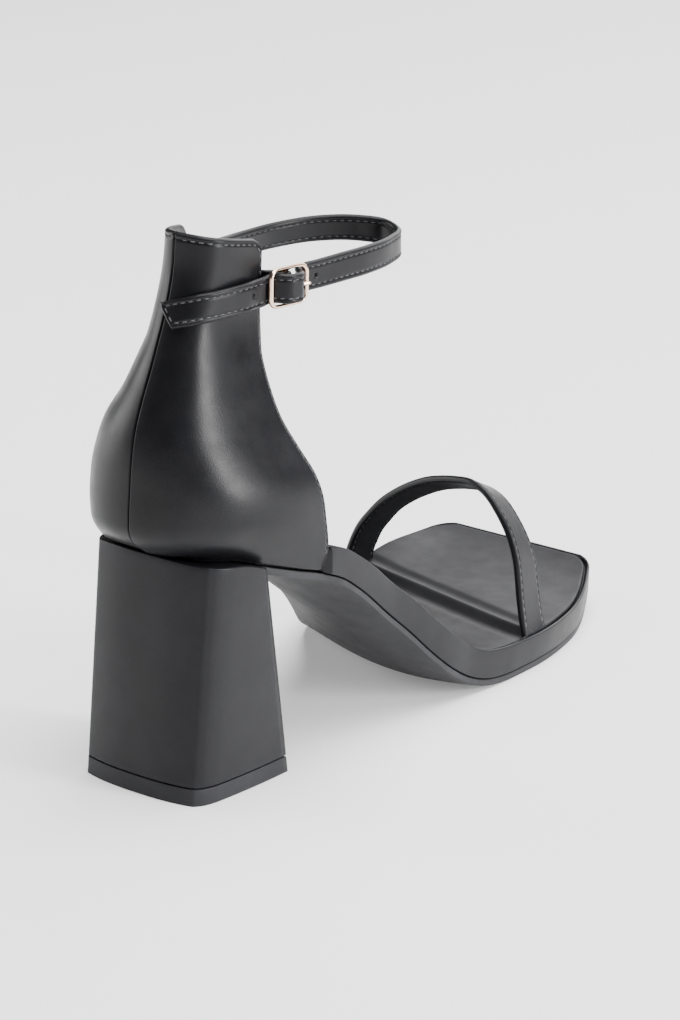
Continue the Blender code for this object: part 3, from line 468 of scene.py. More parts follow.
def back_line(z):
    """Back seam, before the foot turns in."""
    return COUNTER_LENGTH * COUNTER.at("back", counter_level(z)) - COUNTER_BACK


def front_line(z):
    """Front edges of the counter."""
    return COUNTER_LENGTH * COUNTER.at("front", counter_level(z)) - COUNTER_BACK


def plain_section(side, t, z):
    """Half of a level section, from the back seam at 0 to the front edge at 1."""
    name = "medial" if side == MEDIAL else "lateral"
    level = counter_level(z)
    half = COUNTER_WIDTH * COUNTER.at(name, level)
    full = COUNTER.at(name + "_full", level)
    lean = COUNTER.at(name + "_lean", level)
    back, front = back_line(z), front_line(z)
    x = 3 * (1 - t) ** 2 * t * full * half + 3 * (1 - t) * t**2 * (1 - lean) * half + t**3 * half
    turn = back + 0.8 * (1.0 - full) * (front - back)
    y = (1 - t) ** 2 * (1 + 2 * t) * back + 3 * (1 - t) * t**2 * turn + t**3 * front
    return x, y


def tucked_section(side, t, z):
    """A level section with the foot of the wall turned in."""
    x, y = plain_section(side, t, z)
    small = 0.002
    low, high = np.maximum(t - small, 0.0), np.minimum(t + small, 1.0)
    x0, y0 = plain_section(side, low, z)
    x1, y1 = plain_section(side, high, z)
    size = np.hypot(x1 - x0, y1 - y0)
    normal_x, normal_y = (y1 - y0) / size, -(x1 - x0) / size
    name = "medial" if side == MEDIAL else "lateral"
    height = (z - underside(side * x, y)) / (TUCK_HEIGHT * TUCK.at(name + "_height", t))
    depth = COUNTER_TUCK * TUCK.at(name, t)
    turn = depth * np.clip(1.0 - height, 0.0, 1.2) ** TUCK.at("curve", t)
    return x - turn * normal_x, y - turn * normal_y


def counter_rims(side, t):
    """Lowest and highest points of the counter's outer face."""
    top = np.full_like(t, SEAT_HEIGHT + COUNTER_HEIGHT)
    bottom = np.full_like(t, SEAT_HEIGHT)
    for _ in range(6):
        y = plain_section(side, t, top)[1]
        back, front = back_line(top), front_line(top)
        share = np.clip((y - back) / (front - back), 0.0, 1.0)
        top = SEAT_HEIGHT + COUNTER_HEIGHT - TOP_DROP * share
        top = top - round_corner(front - y, TOP_CORNER)
        x, y = tucked_section(side, t, bottom)
        bottom = underside(side * x, y) + round_corner(front_line(bottom) - y, FOOT_CORNER)
    return bottom, top


def counter_face(shares, ups):
    """Grid of the counter's outer face; shares are negative on the medial side."""
    points = np.zeros((len(shares), len(ups), 3))
    for side in (MEDIAL, LATERAL):
        chosen = (shares < 0.0) if side == MEDIAL else (shares >= 0.0)
        t = np.abs(shares[chosen])
        bottom, top = counter_rims(side, t)
        z = bottom[:, None] + ups[None, :] * (top - bottom)[:, None]
        x, y = tucked_section(side, t[:, None] + 0.0 * z, z)
        points[chosen] = np.stack([side * x, y, z], axis=-1)
    return points


RIM = 0.5 * COUNTER_WALL
FRONT_SPEED = 0.105        # about how far a share round the counter's side reaches at its front
SEAM_SPEED = 0.045         # the same at the back seam
TOP_ROW = 0.0017           # stitches from the counter's top
FRONT_ROW = 0.0011         # stitches from its front edges
SEAM_ROW = 0.0004          # middle of the back seam's groove, from the seam
GROOVE_DEPTH = 0.00085
GROOVE_HALF = 0.00060      # half the groove's width
PANEL_EDGE = 0.0004        # radius of the raised panel's edge
ROW_START = 0.0022         # first stitches along the top, from the seam
ROW_CORNER = 0.0030        # radius in which the stitches turn down at the top's corners
PUFF_PLACE = 0.0007        # middle of the puffed margin, from a stitched edge
TROUGH_HALF = 0.0005       # half the width of the trough that stitches lie in


def seam_distance(face):
    """Level distance of the wall's points from the back seam, below 0 on the medial side."""
    steps = np.linalg.norm(np.diff(face[..., :2], axis=0), axis=-1)
    reach = np.concatenate([np.zeros((1, face.shape[1])), np.cumsum(steps, axis=0)])
    return reach - reach[len(face) // 2]


def share_at(seam_x, shares, ups, at_up, start, distance):
    """Share round the wall at a distance from one of its columns, at each height."""
    rows = np.round(np.interp(at_up, ups, np.arange(len(ups)))).astype(int)
    return np.array([np.interp(seam_x[start, row] + d, seam_x[:, row], shares)
                     for row, d in zip(rows, distance)])


def margin_relief(distance, row, puff_half, puff, trough):
    """Puffed margin and sunk row of stitches by the distance from an edge."""
    return (puff * bell(distance - PUFF_PLACE, puff_half)
            - trough * bell(distance - row, TROUGH_HALF))


def build_counter():
    """Hollow wall round the heel; gives the grid of its inner face."""
    ends = [1.0 - d / FRONT_SPEED for d in rim_steps(RIM)]
    margin = [1.0 - d * MM / FRONT_SPEED for d in (1.2, 1.5, 1.8, 2.1, 2.5, 3.0)]
    middle = np.linspace(0.94, 0.14, 56).tolist()
    seam = [d * MM / SEAM_SPEED for d in (5.6, 4.6, 3.8, 3.1, 2.5, 2.0, 1.6, 1.3, 1.05, 0.85,
                                          0.7, 0.55, 0.42, 0.3, 0.2, 0.1)]
    half = np.array(ends + margin + middle + seam)
    shares = np.concatenate([-half, [0.0], half[::-1]])
    step = [d / COUNTER_HEIGHT for d in rim_steps(RIM)]
    band = [d * MM / COUNTER_HEIGHT for d in (1.2, 1.4, 1.6, 1.8, 2.0, 2.3, 2.7, 3.2)]
    ups = np.array(step + band[::3] + np.linspace(0.045, 0.955, 92).tolist()
                   + [1.0 - s for s in (step + band)[::-1]])
    face = counter_face(shares, ups)
    normal = grid_normals(face)
    if np.sum(normal[len(half) // 2, len(ups) // 2] * np.array([-1.0, 0.0, 0.0])) < 0:
        normal = -normal
    height = face[:, -1:, 2] - face[:, :1, 2]
    to_top = (1.0 - ups[None, :]) * height
    to_foot = ups[None, :] * height
    seam_x = seam_distance(face)
    to_front = np.minimum(seam_x - seam_x[:1], seam_x[-1:] - seam_x)
    edge = roll(np.minimum(np.minimum(to_top, to_foot), to_front), RIM)
    raised = np.where(seam_x > 0.0, SEAM_STEP * (1.0 - smooth_step(seam_x / SEAM_FADE)), 0.0)
    raised *= roll(np.maximum(seam_x, 0.0), PANEL_EDGE)
    raised -= GROOVE_DEPTH * bell(seam_x + SEAM_ROW, GROOVE_HALF)
    fold = np.minimum(to_top, to_front + TOP_ROW - FRONT_ROW)
    relief = margin_relief(fold, TOP_ROW, 0.0008, 0.00012, 0.00026)
    middle_face = face - RIM * normal
    outer = middle_face + normal * ((RIM + raised + relief) * edge)[..., None]
    inner = middle_face - normal * (RIM * edge)[..., None]
    shell("counter_leather", outer, inner, UPPER, "upper", "counter")
    build_counter_stitches(shares, ups, outer, normal, seam_x)
    return outer - COUNTER_WALL * normal


def sample(grid, shares, ups, at_share, at_up):
    """Read a grid of points or normals between its rows and columns."""
    i = np.interp(at_share, shares, np.arange(len(shares)))
    j = np.interp(at_up, ups, np.arange(len(ups)))
    i0 = np.clip(i.astype(int), 0, len(shares) - 2)
    j0 = np.clip(j.astype(int), 0, len(ups) - 2)
    a, b = (i - i0)[:, None], (j - j0)[:, None]
    return ((1 - a) * (1 - b) * grid[i0, j0] + a * (1 - b) * grid[i0 + 1, j0]
            + (1 - a) * b * grid[i0, j0 + 1] + a * b * grid[i0 + 1, j0 + 1])


# Stitches: pitch, share of it that shows, radius of the thread and lift of its middle

EDGE_STITCH = (0.0025, 0.74, 0.00027, 0.00012)
SEAM_STITCH = (0.0025, 0.70, 0.00024, 0.00006)
TOE_STITCH = (0.0025, 0.74, 0.00024, 0.00010)
ANKLE_STITCH = (0.0023, 0.72, 0.00024, 0.00010)
STITCH_SINK = 1.3          # how far a stitch's ends sink, in radii
STITCH_FLAT = 0.8          # height of a stitch as a share of its width


def stitch_line(grid, normal, shares, ups, at_share, at_up):
    """Points and normals of a row of stitches on a grid."""
    return [sample(values, shares, ups, at_share, at_up) for values in (grid, normal)]


def add_stitches(name, lines, kind, look):
    """Make the stitches along lines of points and normals."""
    pitch, share, radius, lift = kind
    verts, faces, start = [], [], 0
    angles = np.linspace(0.0, 2.0 * math.pi, 6, endpoint=False)
    spots = np.linspace(-1.0, 1.0, 7)
    sink = lift - STITCH_SINK * radius * np.abs(spots) ** 3
    size = radius * np.sqrt(np.clip(1.0 - np.abs(spots) ** 4, 0.0, 1.0))
    for points, normals in lines:
        length = lengths(points)
        count = max(1, int(round(length[-1] / pitch)))
        for k in range(count):
            at = (k + 0.5 + 0.5 * share * spots) * length[-1] / count
            place, up = (np.stack([np.interp(at, length, values[:, c]) for c in range(3)], axis=-1)
                         for values in (points, normals))
            up = unit(up)
            side = unit(np.cross(unit(place[-1] - place[0]), up))
            place = place + up * sink[:, None]
            ring = (place[1:-1, None] + size[1:-1, None, None]
                    * (np.cos(angles)[None, :, None] * side[1:-1, None]
                       + STITCH_FLAT * np.sin(angles)[None, :, None] * up[1:-1, None]))
            more, quads = ring_tube(place[[0, -1]], ring)
            verts.append(more)
            faces += [[v + start for v in face] for face in quads]
            start += len(more)
    add_mesh(name, np.concatenate(verts), faces, look, "upper")


def build_counter_stitches(shares, ups, outer, normal, seam_x):
    """Rows along the top, the front edges and the back seam."""
    height = outer[:, -1, 2] - outer[:, 0, 2]
    middle = len(shares) // 2
    turn = np.linspace(0.0, 0.5 * math.pi, 12)
    away = FRONT_ROW + ROW_CORNER * (1.0 - np.sin(turn))
    lower = TOP_ROW + ROW_CORNER * (1.0 - np.cos(turn))
    down = np.linspace(1.0 - (TOP_ROW + ROW_CORNER) / COUNTER_HEIGHT, 0.05, 90)[1:]
    top = np.concatenate([np.full(80, TOP_ROW), lower[1:]])
    lines = []
    for side, start in ((-1.0, 0), (1.0, -1)):
        first = share_at(seam_x, shares, ups, [1.0], middle, [side * ROW_START])[0]
        bend = share_at(seam_x, shares, ups, 1.0 - lower / COUNTER_HEIGHT, start, -side * away)
        edge = share_at(seam_x, shares, ups, down, start, -side * (FRONT_ROW + 0.0 * down))
        along = np.concatenate([np.linspace(first, bend[0], 80), bend[1:]])
        at_up = np.concatenate([1.0 - top / np.interp(along, shares, height), down])
        lines.append(stitch_line(outer, normal, shares, ups, np.concatenate([along, edge]), at_up))
    add_stitches("counter_stitches", lines, EDGE_STITCH, THREAD)
    down = np.linspace(0.985, 0.02, 120)
    at_share = share_at(seam_x, shares, ups, down, middle, -SEAM_ROW + 0.0 * down)
    lines = [stitch_line(outer, normal, shares, ups, at_share, down)]
    # The back seam's stitches take the black leather look instead of the thread's: painted shade of
    # the groove they lie in.
    add_stitches("seam_stitches", lines, SEAM_STITCH, UPPER)


# Sole pieces

def inner_reach(side, y, z):
    """Half width inside the counter at a place and a height."""
    middle = len(COUNTER_INNER) // 2
    wall = COUNTER_INNER[middle:] if side == LATERAL else COUNTER_INNER[middle::-1]
    xs, ys = (np.array([np.interp(z, column[:, 2], column[:, i]) for column in wall])
              for i in (0, 1))
    return float(np.interp(y, ys, np.abs(xs)))


def inner_back(z):
    """Back of the room inside the counter at a height."""
    column = COUNTER_INNER[len(COUNTER_INNER) // 2]
    return float(np.interp(z, column[:, 2], column[:, 1]))


def slab_ring(y, medial, lateral, low, high, radius, inset):
    """One closed section of a slab with rounded edges; low and high give its faces."""
    medial, lateral = medial - inset, lateral - inset
    wide = medial + lateral - 2.0 * radius
    near = np.array([0.0, 0.2, 0.4, 0.55, 0.7, 0.9, 1.2, 1.7, 2.4]) * MM
    spread = np.concatenate([near, np.linspace(0.0034, wide - 0.0034, 26), wide - near[::-1]])
    spread += radius - medial
    angles = np.linspace(0.0, 0.5 * math.pi, 5)

    def corner(side, face, order):
        edge = -medial if side == MEDIAL else lateral
        x = edge - side * (radius - radius * np.cos(angles))
        z = (high(edge, y) - inset - radius + radius * np.sin(angles) if face == "high"
             else low(edge, y) + inset + radius - radius * np.sin(angles))
        points = np.stack([x, np.full_like(x, y), z], axis=-1)
        return points[::order]

    def across(face, shift):
        heights = np.array([face(x, y) for x in spread]) + shift
        return np.stack([spread, np.full_like(spread, y), heights], axis=-1)

    return np.concatenate([across(low, inset)[1:-1], corner(LATERAL, "low", -1),
                           corner(LATERAL, "high", 1), across(high, -inset)[-2:0:-1],
                           corner(MEDIAL, "high", -1), corner(MEDIAL, "low", 1)])


def slab(name, stations, edges, low, high, radius, look, slot, node):
    """Sole layer through its sections, rounded at the toe as well."""
    rings = np.array([slab_ring(y, *edges(y), low, high, radius, inset) for y, inset in stations])
    rings[..., 1] = slanted(rings[..., 0], rings[..., 1])
    verts, faces = ring_tube(rings.mean(axis=1), rings)
    return add_mesh(name, verts, faces, look, slot, node)


def toe_stations(start, end, radius, count):
    """Places along a layer and how far its section shrinks at each."""
    corner = end - TOE_CORNER
    places = [(y, 0.0) for y in np.linspace(start, corner, count)]
    turns = np.linspace(0.0, 0.5 * math.pi, 12)[1:]
    places += [(corner + (TOE_CORNER - radius) * math.sin(t), 0.0) for t in turns]
    for t in np.linspace(0.0, 0.5 * math.pi, 6)[1:]:
        places.append((end - radius + radius * math.sin(t), radius * (1.0 - math.cos(t))))
    return places


def counter_zone(low, high, room, count):
    """Stations and half widths of a layer that fills the counter."""
    z_low = float(low(0.0, COUNTER_TUCK))
    back = inner_back(z_low) + room
    step = float(front_line(low(0.0, COUNTER_LENGTH))) + GAP
    shares = 1.0 - np.cos(np.linspace(0.08, 0.5 * math.pi, count))
    places = back + shares / shares[-1] * (step - back)
    widths = {}
    for y in places:
        z = 0.5 * (float(low(0.0, y)) + float(high(0.0, y)))
        widths[float(y)] = tuple(inner_reach(side, y, z) - room for side in (MEDIAL, LATERAL))
    return [(float(y), 0.0) for y in places], widths, step


def build_layer(name, low, high, inset, radius, look, slot, node):
    """Board or sock: it fills the counter and steps out to the sole's outline."""
    inside, widths, step = counter_zone(low, high, BOARD_ROOM, 22)
    end = SOLE_LENGTH - inset
    stations = inside + toe_stations(step + SHORT, end, radius, 180)

    def edges(y):
        if y in widths:
            return widths[y]
        return tuple(float(sole_edge(side, min(y + inset, SOLE_LENGTH))) - inset
                     for side in (MEDIAL, LATERAL))

    return slab(name, stations, edges, low, high, radius, look, slot, node)


def insole_low(x, y):
    """Under face of the sock."""
    return board_top(x, y) + GAP


CUP_ROWS = (               # side, place and half length, start and reach across, height
    (LATERAL, 0.118, 0.055, 0.010, 0.022, 0.0014),
    (MEDIAL, 0.196, 0.024, 0.030, 0.020, 0.0016),
)
DIP_DEPTH = 0.0006         # trough behind the ridge
DIP_PLACE = 0.0052
DIP_HALF = 0.0040
FIELD_HEIGHT = 0.0007      # padded field in front of the ridge, and where it starts and fades
FIELD_START = (0.0055, 0.0025)
FIELD_FADE = (0.0250, 0.0300)
RIM_WIDTH = 0.0009
RIM_SOFT = 0.0004
RIM_START = 0.0030         # length over which the rim rises in front of the counter


def cup(x, y):
    """How far the footbed rises to its edges beside the ball of the foot."""
    return sum(height * bell(y - place, half) * smooth_step((side * x - start) / reach)
               for side, place, half, start, reach, height in CUP_ROWS)


def insole_high(x, y):
    """Upper face of the sock with the fold that crosses it."""
    line = y - RIDGE_PLACE + RIDGE_SLANT * x
    ridge = RIDGE_HEIGHT * bell(line, RIDGE_WIDTH) - DIP_DEPTH * bell(line + DIP_PLACE, DIP_HALF)
    rise, fade = (smooth_step((line - start) / reach) for start, reach in (FIELD_START, FIELD_FADE))
    field = FIELD_HEIGHT * rise * (1.0 - fade)
    return insole_low(x, y) + INSOLE_THICK + ridge + field + cup(x, y)


def rimmed_top(x, y):
    """Upper face of the board with the wrap's rim that stands round the sock."""
    side = MEDIAL if x < 0.0 else LATERAL
    near = min(float(sole_edge(side, y)) - abs(x), SOLE_LENGTH - y)
    free = smooth_step((y - front_line(underside(0.0, COUNTER_LENGTH))) / RIM_START)
    rim = SOCK_RIM * free * (1.0 - smooth_step((near - RIM_WIDTH) / RIM_SOFT))
    return board_top(x, y) + rim + cup(x, y)


def build_sole():
    """Board, sock and outsole."""
    build_layer("platform_wrap", underside, rimmed_top, 0.0, 0.0005, WRAP, "wrap", "platform")
    insole = build_layer("insole_sock", insole_low, insole_high, INSOLE_INSET, 0.0006, SOCK, "sock",
                         "insole")

    start = 0.0
    for _ in range(6):
        z = float(underside(0.0, start)) - GAP - OUTSOLE_THICK
        start = float(heel_plan(1.0, 0.5, z)[1]) + GAP
    front = float(front_line(underside(0.0, COUNTER_LENGTH)))

    def edges(y):
        found = []
        for side in (MEDIAL, LATERAL):
            wide = float(sole_edge(side, min(y + OUTSOLE_INSET, SOLE_LENGTH))) - OUTSOLE_INSET
            z = float(underside(side * wide, y))
            t = np.linspace(0.0, 1.0, 121)
            x, ys = tucked_section(side, t, np.full_like(t, z))
            narrow = float(np.interp(min(y, front), ys, x))
            ease = float(smooth_step((y - front) / COUNTER_TUCK))
            found.append(narrow + ease * (wide - narrow))
        return found

    slab("outsole_rubber", toe_stations(start, SOLE_LENGTH - OUTSOLE_INSET, 0.0004, 150), edges,
         lambda x, y: underside(x, y) - GAP - OUTSOLE_THICK, lambda x, y: underside(x, y) - GAP,
         0.0004, OUTSOLE_LOOK, "outsole_rubber", "outsole")


def heel_plan(u, v, z):
    """Point of the heel's outline at a height, from its back (0) to its breast (1)."""
    rise = z / SEAT_HEIGHT
    width = HEEL_FOOT_WIDTH + rise * (HEEL_TOP_WIDTH - HEEL_FOOT_WIDTH)
    depth = HEEL_FOOT_DEPTH + rise * (HEEL_TOP_DEPTH - HEEL_FOOT_DEPTH)
    along = u * depth
    turn = np.maximum(0.0, 1.0 - along / HEEL_CORNER_DEEP)
    half = 0.5 * width - HEEL_TAPER * (1.0 - u) ** 2
    half = half - HEEL_CORNER_WIDE * (1.0 - np.sqrt(1.0 - turn * turn))
    x = (2.0 * v - 1.0) * half
    back_half = 0.5 * width - HEEL_TAPER - 0.5 * HEEL_CORNER_WIDE
    bulge = HEEL_BULGE * (1.0 - u) ** 2 * np.maximum(0.0, 1.0 - np.abs(x / back_half) ** BULGE_CURVE)
    return x, rise * HEEL_TOP_BACK + along - bulge - HEEL_SKEW * x * (1.0 - u)


def heel_outline(z, inset):
    """Points round the heel at a height, moved in by an inset."""
    corner = HEEL_CORNER_DEEP / HEEL_FOOT_DEPTH
    turns = corner * (1.0 - np.cos(np.linspace(0.0, 0.5 * math.pi, 18)))
    side = np.concatenate([turns, np.linspace(corner, 1.0, 14)[1:]])
    across = np.linspace(0.0, 1.0, 40)[1:-1]
    u = np.concatenate([side[::-1], 0.0 * across, side, 1.0 + 0.0 * across])
    v = np.concatenate([0.0 * side, across, 1.0 + 0.0 * side, across[::-1]])
    x, y = heel_plan(u, v, z)
    points = np.stack([x, y], axis=-1)
    along = unit(np.roll(points, -1, axis=0) - np.roll(points, 1, axis=0))
    return points + inset * np.stack([-along[:, 1], along[:, 0]], axis=-1)


def heel_solid(name, low, high, radius, rows, look, slot, node):
    """Upright block with soft rims; high gives its upper face at a place."""
    turns = np.linspace(0.0, 0.5 * math.pi, 5)
    levels = [(0.0, radius * (1.0 - math.cos(t)), radius * (1.0 - math.sin(t))) for t in turns]
    levels += [(float(w), radius, 0.0) for w in np.linspace(0.0, 1.0, rows)[1:-1]]
    levels += [(1.0, radius * (1.0 + math.cos(t)), radius * (1.0 - math.sin(t)))
               for t in turns[::-1]]
    rings = []
    for share, rise, inset in levels:
        z = SEAT_HEIGHT
        for _ in range(4):
            ring = heel_outline(z, inset)
            top = high(ring[:, 0], ring[:, 1])
            z = low + rise + share * (top - low - 2.0 * radius)
        rings.append(np.stack([ring[:, 0], ring[:, 1], z], axis=-1))
    rings = np.array(rings)
    verts, faces = ring_tube(rings.mean(axis=1), rings)
    return add_mesh(name, verts, faces, look, slot, node)


# The toe strap

def toe_strap_edges():
    """Rear and front edges of the strap's outer face, as tables by the rear one's length."""
    forward = TOE_STRAP_WIDTH * math.cos(math.radians(STRAP_SLOPE))
    across, rise, drop, flare = np.array(TOE_STRAP_ROWS).T
    rear_y = SOLE_LENGTH * (MEDIAL_FOOT + across * (LATERAL_FOOT - MEDIAL_FOOT))
    edges = []
    for shift, lower in ((0.0, 0.0 * drop), (forward * (1.0 + flare), drop)):
        y = rear_y + shift
        medial = MEDIAL * (float(sole_edge(MEDIAL, y[0])) - TOE_STRAP_INSET)
        lateral = LATERAL * (float(sole_edge(LATERAL, y[-1])) - TOE_STRAP_INSET)
        x = medial + across * (lateral - medial)
        z = board_top(x, y) + GAP + TOE_STRAP_HEIGHT * (rise - lower)
        edges.append(np.stack([x, y, z], axis=1))
    length = lengths(edges[0])
    return [Table("xyz", edge, places=length, limited=False) for edge in edges]


STRAP_EDGE = 0.0009        # radius of a strap's rolled edges
STRAP_STITCH = 0.0016      # stitches of a strap, from its edge
TOE_ROW_START = 0.0040     # first stitches of the toe strap, from its ends
ANKLE_ROW_START = 0.0120   # the same at the ankle strap's fixed end


def strap_relief(distance):
    """Puffed margin and stitch groove by the distance from a strap's edge."""
    return margin_relief(distance, STRAP_STITCH, PUFF_PLACE, 0.00010, 0.00024)


def strap_skin(name, middle, outward, lift, node):
    """Shell whose two faces lie a lift to each side of a strap's middle."""
    outer, inner = middle + outward * lift[..., None], middle - outward * lift[..., None]
    shell(name, outer, inner, UPPER, "upper", node)
    return outer, inner


def across_list(width, radius):
    """Distances across a strap, close together at its edges and stitches."""
    half = rim_steps(radius) + [d * MM for d in (1.1, 1.25, 1.4, 1.6, 1.8, 1.95, 2.15, 2.5)]
    inner = np.linspace(half[-1], width - half[-1], max(4, int(width / 0.0009)))[1:-1].tolist()
    return np.array(half + inner + [width - d for d in half[::-1]])


def build_toe_strap():
    """Wide strap over the toes, stitched along both edges."""
    rear, front = toe_strap_edges()
    end = rear.places[-1]
    along = np.linspace(0.0, end, 170)
    widths = across_list(TOE_STRAP_WIDTH, STRAP_EDGE)
    share = widths / TOE_STRAP_WIDTH
    a, b = rear.point(along), front.point(along)
    face = a[:, None] + share[None, :, None] * (b - a)[:, None]
    normal = grid_normals(face)
    if normal[len(along) // 2, 3, 2] < 0:
        normal = -normal
    half = 0.5 * TOE_STRAP_THICK
    distance = np.minimum(widths, TOE_STRAP_WIDTH - widths)
    ends = np.minimum(along, end - along)
    edge = roll(np.minimum(distance[None, :], ends[:, None] + GAP), STRAP_EDGE)
    edge[0] = edge[-1] = 0.0
    outer, inner = strap_skin("toe_strap_leather", face - half * normal, normal,
                              (half + strap_relief(distance)) * edge, "toe_strap")
    spots = np.linspace(TOE_ROW_START, end - TOE_ROW_START, 160)
    lines = [stitch_line(grid, way * normal, along, widths, spots, row + 0.0 * spots)
             for grid, way in ((outer, 1.0), (inner, -1.0))
             for row in (STRAP_STITCH, TOE_STRAP_WIDTH - STRAP_STITCH)]
    add_stitches("toe_strap_stitches", lines, TOE_STITCH, THREAD)


# The ankle strap and its buckle

def buckle_frame_of():
    """Centre of the buckle, its direction along the strap and its outward direction."""
    turn = math.radians(BUCKLE_TURN)
    along = np.array([-math.sin(turn), -math.cos(turn), 0.0])
    outward = np.cross(UP, along)
    centre = np.array([LOOP_SPREAD, float(front_line(LOOP_HEIGHT)) + BUCKLE_AHEAD, LOOP_HEIGHT])
    return centre, along, outward


CENTRE, ALONG, OUTWARD = buckle_frame_of()
BAR = 0.5 * BUCKLE_ROD
BAR_PLACE = 0.5 * BUCKLE_LENGTH - BAR
STRAP_UNDER = -(BAR + GAP + 0.5 * STRAP_THICK)
STRAP_OVER = 2.0 * PRONG_ROD + 3.0 * GAP + 0.5 * STRAP_THICK + BAR - BAR_DROP
FRAME_HALF = 0.5 * STRAP_WIDTH + BUCKLE_ROOM + BAR
HOOK = BAR + GAP + 0.5 * PRONG_ROD


def at_buckle(along, outward, up=0.0):
    """Point by its distances from the buckle's centre."""
    return CENTRE + along * ALONG + outward * OUTWARD + up * UP


def strap_wave(along):
    """How far out the strap's middle lies as it passes over the centre bar, and how high."""
    reach = along / BAR_PLACE
    share = min(abs(reach) / STRAP_DIVE, 1.0) ** STRAP_FULL
    out = STRAP_UNDER + (STRAP_OVER - STRAP_UNDER) * 0.5 * (1.0 + math.cos(math.pi * share))
    return out, math.copysign(STRAP_TILT, -reach) * float(smooth_step((abs(reach) - 0.5) / 0.9))


def strap_route():
    """Middle of the ankle strap as rows of x, y, z and lean, from end to end."""
    rows = []
    rise = LOOP_HEIGHT + ANCHOR_RISE * STRAP_WIDTH
    front = float(front_line(LOOP_HEIGHT))
    for back in (1.0, 0.5, 0.1):
        y = front - back * ANCHOR_LENGTH
        reach = min(inner_reach(MEDIAL, y, rise + up * STRAP_WIDTH) for up in (-0.5, 0.5))
        rows.append((-(reach - GAP - 0.5 * STRAP_THICK), y, rise, 4.0))
    for side, forward, lift, lean in LOOP_ROWS:
        rows.append((side * LOOP_SPREAD, front + forward * LOOP_REACH,
                     LOOP_HEIGHT + lift * STRAP_WIDTH, lean))
    for step in range(-12, 13):
        along = step * BAR_PLACE / 8.0
        rows.append((*at_buckle(along, *strap_wave(along)), 0.0))
    for side, forward, lift, lean in TAIL_ROWS:
        rows.append((side * LOOP_SPREAD, front + forward * LOOP_REACH,
                     LOOP_HEIGHT + lift * STRAP_WIDTH, lean))
    return np.array(rows)


class Band:
    """Flat strap along rows of x, y, z and lean."""

    def __init__(self, rows):
        self.length = lengths(rows[:, :3])
        self.route = Table(("x", "y", "z", "lean"), rows, places=self.length, limited=False)

    def frame_at(self, places, reach=0.0004):
        """Middle, upward and outward directions at places."""
        middle = self.route.point(places)
        ahead = self.route.point(np.minimum(places + reach, self.length[-1]))
        behind = self.route.point(np.maximum(places - reach, 0.0))
        outward = unit(np.cross(UP, ahead - behind))
        lean = np.radians(self.route.at("lean", places))[..., None]
        upward = UP * np.cos(lean) - outward * np.sin(lean)
        across = outward * np.cos(lean) + UP * np.sin(lean)
        return middle, upward, across

    def nearest(self, point):
        """Place along the strap closest to a point."""
        places = np.linspace(0.0, self.length[-1], 4000)
        return float(places[np.argmin(np.linalg.norm(self.route.point(places) - point, axis=1))])


HOLE_RADIUS = 0.00062
HOLE_DEPTH = 0.00080
HOLE_SOFT = 0.00026        # width of a hole's edge
DENT_DEPTH = 0.00006       # dent round a hole
DENT_HALF = 0.0006
FREE_HOLE = 0.0118         # hole in front of the buckle, from its centre
PRONG_HOLE = 0.42          # place of the prong's hole as a share of the front rod's
TAIL_HOLE = 0.0133         # hole behind the buckle, from its centre
HOLE_ROOM = 0.0015         # stretch of finer grid on each side of a hole


